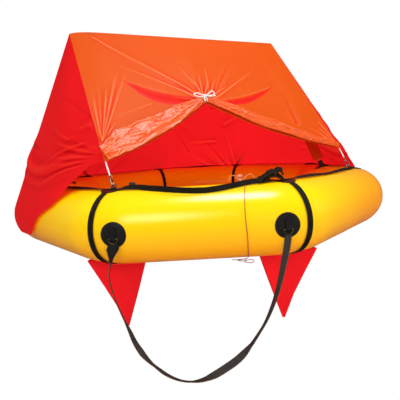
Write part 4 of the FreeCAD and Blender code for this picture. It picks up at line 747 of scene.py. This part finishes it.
def flapPiece():
    # oval section (w/2 cos a, t/2 sin a), its outer side crumpled by seeded creases along and across it
    columns, around = 620, 64
    place = np.linspace(0.012, 0.988, columns)
    hem, _, rise, outward = hemFrame(place)
    width = np.interp(place, flap["places"], flap["widths"]) * (1 - 0.25 * bump(place, 0.5, 0.015))
    stand = flap["clear"] + 1.05 * frontBelly(place, 0.8) + flap["thick"] / 2
    middle = hem + rise * (width / 2 - flap["sink"])[:, None] + outward * stand[:, None]
    angle = np.linspace(0, 2 * math.pi, around, endpoint=False)
    height = np.cos(angle)[None, :] * width[:, None] / 2
    reach = np.concatenate([[0], np.cumsum(np.linalg.norm(np.diff(hem, axis=0), axis=1))])
    along = np.broadcast_to(reach[:, None], height.shape)
    tieAt = float(np.interp(0.5, place, reach))
    lines = np.vstack([
        strayLines((0, -0.05), (reach[-1], 0.05), 110, 0.13, 24, 0.0070, 0.0058, 41),
        strayLines((0, -0.05), (reach[-1], 0.05), 70, 0.06, 75, 0.0055, 0.0046, 43),
        fanLines((tieAt, 0.0), (150, 210), 9, 0.26, 0.008, 0.0080, 47),
        fanLines((tieAt, 0.0), (-30, 30), 9, 0.24, 0.008, 0.0080, 53),
        fanLines((0.0, 0.0), (-25, 25), 8, 0.20, 0.008, 0.0060, 59)])
    crumple = creases(along, height, lines)
    front = np.clip(np.sin(angle), 0, 1)[None, :] ** 0.4
    crumple = np.clip(crumple, -0.0085, 0.0075) * front
    taper = 0.25 + 0.75 * smooth((1 + np.cos(angle)) / 0.9)
    lifted = 0.004 * smooth(np.cos(angle)[None, :] * 2 - 1) * (1 - bump(place, 0.5, 0.08))[:, None]
    ripple = 1 - 0.07 * np.abs(np.sin(reach[:, None] * 41 + 2 * np.sin(reach[:, None] * 17)))
    points = (middle[:, None] + rise[:, None] * (height * ripple)[..., None]
              + outward[:, None] * (np.sin(angle) * flap["thick"] / 2 * 0.8 * taper + lifted
                                    + crumple)[..., None])
    # fold: painted shade in the crumples' hollows, painted highlight on their crests
    fold = pressedIn(crumple, 420)
    ends = [np.repeat(points[:1].mean(1, keepdims=True), around, 1), points,
            np.repeat(points[-1:].mean(1, keepdims=True), around, 1)]
    fold = np.concatenate([fold[:1], fold, fold[-1:]])
    return gridMesh("door_flap_cloth", np.concatenate(ends), wrapAcross=True, fold=fold)


dress(flapPiece(), "canopy_orange", "door_flap_roll", look="flap_orange_painted_lit")

# fabric sleeves round the arch legs, flat and softly wrinkled

sleeve = dict(wide=0.056, deep=0.0175, hem=0.006, wrinkle=0.06, across=((1.0, 0.35, 0.0), (1.0, -0.35, 0.0)))


def sleevePiece(label, across):
    # an oval (w/2 cos a, d/2 sin a) along the leg's longest way, both times 1 - 0.06 |sin(55 s + 2 sin 23 s)|
    sleeveLow, sleeveHigh = (np.array(corner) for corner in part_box("leg_sleeve_" + label))
    spots = np.zeros(len(frame["nodes"]["arch_leg_" + label].data.vertices) * 3)
    frame["nodes"]["arch_leg_" + label].data.vertices.foreach_get("co", spots)
    spots = spots.reshape(-1, 3)
    middle = spots.mean(0)
    way = np.linalg.svd(spots - middle, full_matrices=False)[2][0]
    way = way * (1 if way[2] > 0 else -1)
    start = (sleeveLow[2] + sleeve["hem"] - middle[2]) / way[2]
    stop = (sleeveHigh[2] - sleeve["hem"] - middle[2]) / way[2]
    run = np.linspace(start, stop, 160)
    path = middle + way * run[:, None]
    normal = unit(np.cross(way, np.array(across)))
    section = roundSection(sleeve["wide"] / 2, 40, sleeve["deep"] / 2)
    wrinkle = 1 - sleeve["wrinkle"] * np.abs(np.sin(run * 55 + 2 * np.sin(run * 23)))
    return sweep("leg_sleeve_cloth_" + label, path, section, normal, scale=wrinkle)


for label, across in zip(("left", "right"), sleeve["across"]):
    dress(sleevePiece(label, across), "canopy_orange", "leg_sleeve_" + label)

# door tie: a bow of white cord

tieLow, tieHigh = (np.array(corner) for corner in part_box("door_tie"))
tieMiddle = (tieLow + tieHigh) / 2
hemHere, aheadHere, riseHere, outHere = (rows[0] for rows in hemFrame(np.array([0.5])))
bow = dict(radius=0.0029, knot=(0.0056, 0.0080, 0.0055), knotRadius=0.0030, band=(0.0215, 0.0105),
           bandAt=(0.018, 0.0125), bandRadius=0.0021, routes=(
    ("loop_left", ((-0.003, 0.002), (-0.020, 0.012), (-0.042, 0.018), (-0.056, 0.013), (-0.048, 0.003),
                   (-0.022, -0.002), (-0.004, -0.001)), 0.002),
    ("loop_right", ((0.003, 0.002), (0.018, 0.014), (0.034, 0.029), (0.050, 0.032), (0.052, 0.018),
                    (0.034, 0.006), (0.010, 0.000)), 0.003),
    ("tail_left", ((-0.002, -0.002), (-0.010, -0.010), (-0.014, -0.022), (-0.010, -0.034)), 0.004),
    ("tail_right", ((0.003, -0.003), (0.018, -0.006), (0.034, -0.003), (0.048, 0.002)), 0.006)))


def tieSpot(across, rise, out):
    # knot + ahead a + rise r + out o
    return tieMiddle + aheadHere * across + riseHere * rise + outHere * out


bowPieces = []
for label, spots, stand in bow["routes"]:
    route = [tieSpot(x, y, stand + 0.003 * math.sin(2 * math.pi * k / (len(spots) - 1)))
             for k, (x, y) in enumerate(spots)]
    piece = nurbs("door_tie_" + label, route, bow["radius"])
    dress(piece, "cord_white", *(["door_tie"] if not bowPieces else []))
    bowPieces.append((piece, route, label))
knotTurn = np.linspace(0, 2 * math.pi, 40, endpoint=False)
knotAcross, knotTall, knotDeep = bow["knot"]
knotPath = np.array([tieSpot(knotAcross * math.sin(2 * t), knotTall * math.cos(t), knotDeep * math.sin(t))
                     for t in knotTurn])
knot = sweep("door_tie_knot", knotPath, roundSection(bow["knotRadius"]), aheadHere, closed=True)
dress(knot, "cord_white")
bandTurn = np.linspace(0, 2 * math.pi, 60, endpoint=False)
for shift in (-0.004, 0.004):
    middle = hemHere + riseHere * bow["bandAt"][0] + outHere * bow["bandAt"][1] + aheadHere * shift
    ring = np.array([middle + riseHere * bow["band"][0] * math.cos(t) + outHere * bow["band"][1] * math.sin(t)
                     for t in bandTurn])
    band = sweep("door_tie_turn_%d" % (shift > 0), ring, roundSection(bow["bandRadius"]), aheadHere,
                 closed=True)
    dress(band, "cord_white")
for piece, route, label in bowPieces:
    splineLength(route)
print("door tie made")

# ballast bags: open cloth cones, creased towards the tip

bags = dict(top=((-0.428, -0.705), (-0.205, -0.748), (-0.212, -0.608), (-0.398, -0.585)),
            waist=((-0.338, -0.706), (-0.262, -0.716), (-0.264, -0.668), (-0.330, -0.655)),
            tip=((-0.306, -0.694), (-0.296, -0.696), (-0.296, -0.686), (-0.305, -0.684)),
            heights=(-0.002, -0.175, -0.272), bend=0.64, columns=28, rows=90, sag=0.05, crease=0.012)


def bagCloth(name, sideX, turn):
    # four faces between outlines, hollowed by 4 s (1 - s) between their edges
    outlines = [np.array(bags[key]) for key in ("top", "waist", "tip")]
    share = np.linspace(0, 1, bags["columns"], endpoint=False)
    rings = []
    for corners in outlines:
        after = np.roll(corners, -1, 0)
        rings.append(np.concatenate([c + (d - c) * share[:, None] for c, d in zip(corners, after)]))
    t = np.linspace(0, 1, bags["rows"])
    height = np.interp(t, [0, bags["bend"], 1], bags["heights"])
    part = np.interp(t, [0, bags["bend"], 1], [0, 1, 2])
    weights = np.stack([np.clip(1 - part, 0, 1), 1 - np.abs(part - 1), np.clip(part - 1, 0, 1)], 1)
    ring = np.einsum("tk,kij->tij", weights, np.array(rings))
    middle = ring.mean(1, keepdims=True)
    reach = ring - middle
    s = np.tile(share, 4)[None, :]
    face = np.repeat(np.arange(4), bags["columns"])[None, :]
    sag = bags["sag"] * 4 * s * (1 - s) * np.sin(math.pi * t)[:, None]
    crease = bags["crease"] * np.sin(s * 19 + face * 2 + 5 * t[:, None]) * np.sin(math.pi * t)[:, None]
    ring = middle + reach * (1 - sag - np.abs(crease))[..., None]
    points = np.concatenate([ring, np.broadcast_to(height[:, None, None], ring.shape[:2] + (1,))], 2)
    points = points * np.array([sideX, 1, 1])
    angle = math.radians(turn)
    rotate = np.array([[math.cos(angle), -math.sin(angle), 0],
                       [math.sin(angle), math.cos(angle), 0], [0, 0, 1]])
    return gridMesh(name, points @ rotate.T, wrapAcross=True)


for tag, sideX, turn in (("fl", 1, 0), ("fr", -1, 0), ("br", 1, 180), ("bl", -1, 180)):
    dress(bagCloth("bag_cloth_" + tag, sideX, turn), "bag_fabric", "ballast_bag_" + tag)
print("bags made")

# boarding strap: flat webbing, turned on edge in places

gatherLow, gatherHigh = (np.array(corner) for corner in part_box("strap_end_gather"))
strapLow, strapHigh = (np.array(corner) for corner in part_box("boarding_strap"))
strapLevel = float(strapLow[1] + strapHigh[1]) / 2
strap = dict(width=0.025, thick=0.0024, route=(
    (-0.291, 0.043), (-0.301, -0.002), (-0.296, -0.048), (-0.284, -0.096), (-0.269, -0.143),
    (-0.252, -0.190), (-0.234, -0.240), (-0.208, -0.286), (-0.173, -0.327), (-0.131, -0.362),
    (-0.084, -0.383), (-0.035, -0.385), (0.014, -0.369), (0.058, -0.344), (0.101, -0.314),
    (0.138, -0.276), (0.168, -0.234), (0.195, -0.190), (0.217, -0.142), (0.235, -0.092),
    (0.249, -0.042), (0.260, 0.008), (0.271, 0.060), (0.277, 0.1015)),
    turns=((0, 0.05, 0.118, 0.174, 0.221, 0.282, 0.333, 0.364, 0.40, 0.426, 0.456, 0.497, 0.528,
            0.574, 0.626, 0.662, 0.723, 0.785, 0.831, 0.887, 0.928, 0.974, 1.0),
           (88, 102, 106, 103, 80, 67, 103, 96, 105, 112, 115, 87, 51, 27, 53, 89, 96, 83, 75, 62,
            52, 46, 44)))
strapPath, strapLength = resample([(x, strapLevel, z) for x, z in strap["route"]], 0.006)
strapShare = np.linspace(0, 1, len(strapPath))
strapTurn = np.interp(strapShare, *strap["turns"])
webbing = sweep("boarding_strap_webbing", strapPath, webSection(strap["width"], strap["thick"]),
                np.array([0.0, -1.0, 0.0]), twist=strapTurn)
dress(webbing, "webbing_grey", "boarding_strap")
print("strap made")

# gathered strap end: webbing pleated into a tapering sleeve

gatherTop = np.array([gatherHigh[0] * 0.5 + gatherLow[0] * 0.5 + 0.006, strapLevel, gatherHigh[2]])
gatherEnd = strapPath[0]
gather = dict(rows=60, around=56, pleat=0.16,
              wide=([0, 0.08, 0.3, 0.55, 0.78, 1], [0.012, 0.019, 0.0215, 0.0145, 0.0085, 0.0050]),
              deep=([0, 0.1, 0.35, 0.7, 1], [0.003, 0.0042, 0.006, 0.005, 0.0038]))


def gatherPiece():
    # oval (w cos a, d sin a) (1 - 0.16 |sin(3.5 a + 2.5 t)|), fullest a third of the way down
    t = np.linspace(0, 1, gather["rows"])
    angle = np.linspace(0, 2 * math.pi, gather["around"], endpoint=False)
    wide = np.interp(t, *gather["wide"])
    deep = np.interp(t, *gather["deep"])
    path = gatherTop + (gatherEnd - gatherTop) * t[:, None]
    pleat = 1 - gather["pleat"] * np.abs(np.sin(3.5 * angle[None, :] + 2.5 * t[:, None]))
    x = np.cos(angle)[None, :] * wide[:, None] * pleat
    y = np.sin(angle)[None, :] * deep[:, None] * pleat
    points = path[:, None] + np.stack([x, -y, np.zeros_like(x)], -1)
    first, last = (np.repeat(row.mean(1, keepdims=True), gather["around"], 1)
                   for row in (points[:1], points[-1:]))
    return gridMesh("strap_gather_cloth", np.concatenate([first, points, last]), wrapAcross=True)


dress(gatherPiece(), "patch_rubber", "strap_end_gather")

# lanyard of the inflation valve

lanyard = dict(radius=0.0012, loopWave=0.003, loops=(((0.132, -0.838, 0.012), 0.014, 0.0026),
                                                     ((0.156, -0.838, 0.007), 0.016, 0.0052)), route=(
    (160.6, 14, 12), (163, -1, 9.5), (158, -17, 6.5), (151, -35, 5.5), (146, -53, 6), (143, -71, 5.5),
    (145, -89, 6), (149, -107, 5.5), (150, -125, 6), (157, -142, 6), (153, -157, 6.5),
    (136, -166, 7), (117, -164, 7.5), (102, -154, 8)))
lanyardRoute = []
for across, turn, clear in lanyard["route"]:
    angle = math.radians(turn)
    reach = tubeRadius + clear / 1000
    lanyardRoute.append((across / 1000, -apothem + math.sin(angle) * reach,
                         tubeRadius + math.cos(angle) * reach))
cord = nurbs("lanyard_line", lanyardRoute, lanyard["radius"])
dress(cord, "lanyard_red", "valve_lanyard")
loopTurn = np.linspace(0, 2 * math.pi, 36, endpoint=False)
for count, (middle, wide, tall) in enumerate(lanyard["loops"]):
    loop = np.stack([middle[0] + wide * np.cos(loopTurn),
                     middle[1] + lanyard["loopWave"] * np.sin(2 * loopTurn),
                     middle[2] + tall * np.sin(loopTurn)], 1)
    piece = sweep("lanyard_loop_%d" % count, loop, roundSection(lanyard["radius"]), (0, -1, 0),
                  closed=True)
    dress(piece, "lanyard_red")
splineLength(lanyardRoute)

# canopy tie cords, taut from the cloth to their hooks

tieCord = dict(radius=0.003)
for tag, slotName in (("fl", "cord_white"), ("r1", "cord_white"),
                      ("br", "cord_orange"), ("l2", "cord_orange")):
    source = frame["nodes"]["tie_cord_" + tag].data
    spots = np.zeros(len(source.vertices) * 3)
    source.vertices.foreach_get("co", spots)
    spots = spots.reshape(-1, 3)
    middle = spots.mean(0)
    way = np.linalg.svd(spots - middle, full_matrices=False)[2][0]
    reach = (spots - middle) @ way
    ends = [middle + way * reach.min(), middle, middle + way * reach.max()]
    if ends[0][2] > ends[2][2]:
        ends = ends[::-1]
    piece = nurbs("tie_line_" + tag, ends, tieCord["radius"])
    dress(piece, slotName, "tie_cord_" + tag)
    splineLength(ends)

# elastic tape of the inflation valve's cover, slipped under its rim

valveLow, valveHigh = (np.array(corner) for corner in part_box("inflation_valve_body"))
valveAt = np.array([(valveLow[0] + valveHigh[0]) / 2, valveLow[1] - 0.002, valveHigh[2]])
tape = dict(width=0.0042, thick=0.0009, route=(
    (-0.042, -0.004, -0.004), (-0.034, 0.002, 0.011), (-0.022, 0.003, 0.013), (-0.010, -0.002, 0.001),
    (0.000, -0.004, -0.002), (0.012, -0.003, 0.001), (0.028, 0.003, 0.014), (0.042, 0.003, 0.012),
    (0.054, -0.004, -0.004)))
tapePath, tapeLength = resample(valveAt + np.array(tape["route"]), 0.002)
piece = sweep("valve_cover_tape", tapePath, webSection(tape["width"], tape["thick"]), up, twist=-55)
dress(piece, "cord_orange")
print("cords made")

# stage, light and camera


def stagePiece(name, points, material):
    # a flat four-cornered sheet that mirrors don't show
    piece = gridMesh(name, np.array(points, float).reshape(2, 2, 3))
    piece.data.materials.append(material)
    piece.visible_glossy = False
    return piece


floorMaterial = bpy.data.materials.new("pale_floor")
floorMaterial.use_nodes = True
floorTree = floorMaterial.node_tree
floorShader = floorTree.nodes["Principled BSDF"]
floorShader.inputs["Base Color"].default_value = (0.8, 0.8, 0.8, 1)
floorShader.inputs["Roughness"].default_value = 0.9
white = addNode(floorTree, "Emission", {})
rays = addNode(floorTree, "LightPath", {})
choose = addNode(floorTree, "MixShader", {"Fac": rays.outputs["Is Camera Ray"], 1: floorShader.outputs["BSDF"],
                                          2: white.outputs["Emission"]})
floorTree.links.new(choose.outputs["Shader"], floorTree.nodes["Material Output"].inputs["Surface"])
floorLevel = -0.47
stagePiece("floor", ((-9, -9, floorLevel), (9, -9, floorLevel), (-9, 9, floorLevel), (9, 9, floorLevel)),
           floorMaterial)

world = bpy.data.worlds.new("studio")
bpy.context.scene.world = world
world.use_nodes = True
worldTree = world.node_tree
around, seen, mirrored = (
    addNode(worldTree, "Background", {"Color": (1, 1, 1, 1), "Strength": strength}).outputs["Background"]
    for strength in (0.36, 1.0, 0.12))
worldRays = addNode(worldTree, "LightPath", {}).outputs
worldMix = addNode(worldTree, "MixShader", {"Fac": worldRays["Is Camera Ray"], 1: around, 2: seen})
worldMix = addNode(worldTree, "MixShader", {"Fac": worldRays["Is Glossy Ray"],
                                            1: worldMix.outputs["Shader"], 2: mirrored})
worldTree.links.new(worldMix.outputs["Shader"], worldTree.nodes["World Output"].inputs["Surface"])

lamps = (
    dict(name="key", place=(-0.7, -3.3, 2.0), aim=(0, -0.4, 0.3), size=1.1, power=43, mirrored=False),
    dict(name="top", place=(0.5, -0.45, 3.2), aim=(0, -0.2, 0.3), size=1.0, power=47, mirrored=False),
    dict(name="gleam_above", place=(0.46, -1.0, 3.2), aim=(0.15, -0.84, 0.22), size=1.15, power=92,
         mirrored=True, lights=False),
    dict(name="gleam_front", place=(-0.55, -3.3, 1.72), aim=(-0.12, -0.87, 0.17), size=1.2, power=24,
         mirrored=True, lights=False),
    dict(name="front", place=(1.4, -3.4, 0.7), aim=(0.1, -0.2, 0.5), size=1.6, power=24, mirrored=False),
    dict(name="left", place=(-3.4, 0.0, 1.2), aim=(-0.3, 0, 0.5), size=1.8, power=26, mirrored=False),
    dict(name="right", place=(3.4, -0.9, 0.9), aim=(0.6, -0.3, 0.2), size=1.8, power=26, mirrored=False),
    dict(name="back", place=(0.8, 3.2, 2.0), aim=(0, 0.3, 0.6), size=2.0, power=100, mirrored=False),
)


def turnTo(piece, place, aim):
    # columns right = up x back, above = back x right, back = (place - aim) / |place - aim|
    back = unit(np.array(place, float) - np.array(aim, float))
    right = unit(np.cross(up, back))
    above = np.cross(back, right)
    rows = np.stack([right, above, back], 1)
    piece.matrix_world = Matrix([[*rows[k], place[k]] for k in range(3)] + [[0, 0, 0, 1]])


for lamp in lamps:
    light = bpy.data.lights.new(lamp["name"], "AREA")
    light.shape = "DISK"
    light.size = lamp["size"]
    light.energy = lamp["power"]
    piece = bpy.data.objects.new(lamp["name"], light)
    piece.visible_glossy = lamp["mirrored"]
    piece.visible_diffuse = lamp.get("lights", True)
    bpy.context.scene.collection.objects.link(piece)
    turnTo(piece, lamp["place"], lamp["aim"])

view = dict(place=(0.0066, -1.928, 0.3744), yaw=-0.14, pitch=-7.99, roll=-3.24, lens=30.59)
camera = bpy.data.cameras.new("camera")
camera.lens = view["lens"]
camera.sensor_width = 36
eye = bpy.data.objects.new("camera", camera)
bpy.context.scene.collection.objects.link(eye)
yaw, pitch, roll = (math.radians(view[key]) for key in ("yaw", "pitch", "roll"))
forward = np.array([math.sin(yaw) * math.cos(pitch), math.cos(yaw) * math.cos(pitch), math.sin(pitch)])
right = unit(np.cross(forward, up))
above = np.cross(right, forward)
rightRolled = math.cos(roll) * right + math.sin(roll) * above
aboveRolled = -math.sin(roll) * right + math.cos(roll) * above
columns = np.stack([rightRolled, aboveRolled, -forward], 1)
eye.matrix_world = Matrix([[*columns[k], view["place"][k]] for k in range(3)] + [[0, 0, 0, 1]])
bpy.context.scene.camera = eye
bpy.context.scene.view_settings.view_transform = "Standard"
print("stage made")
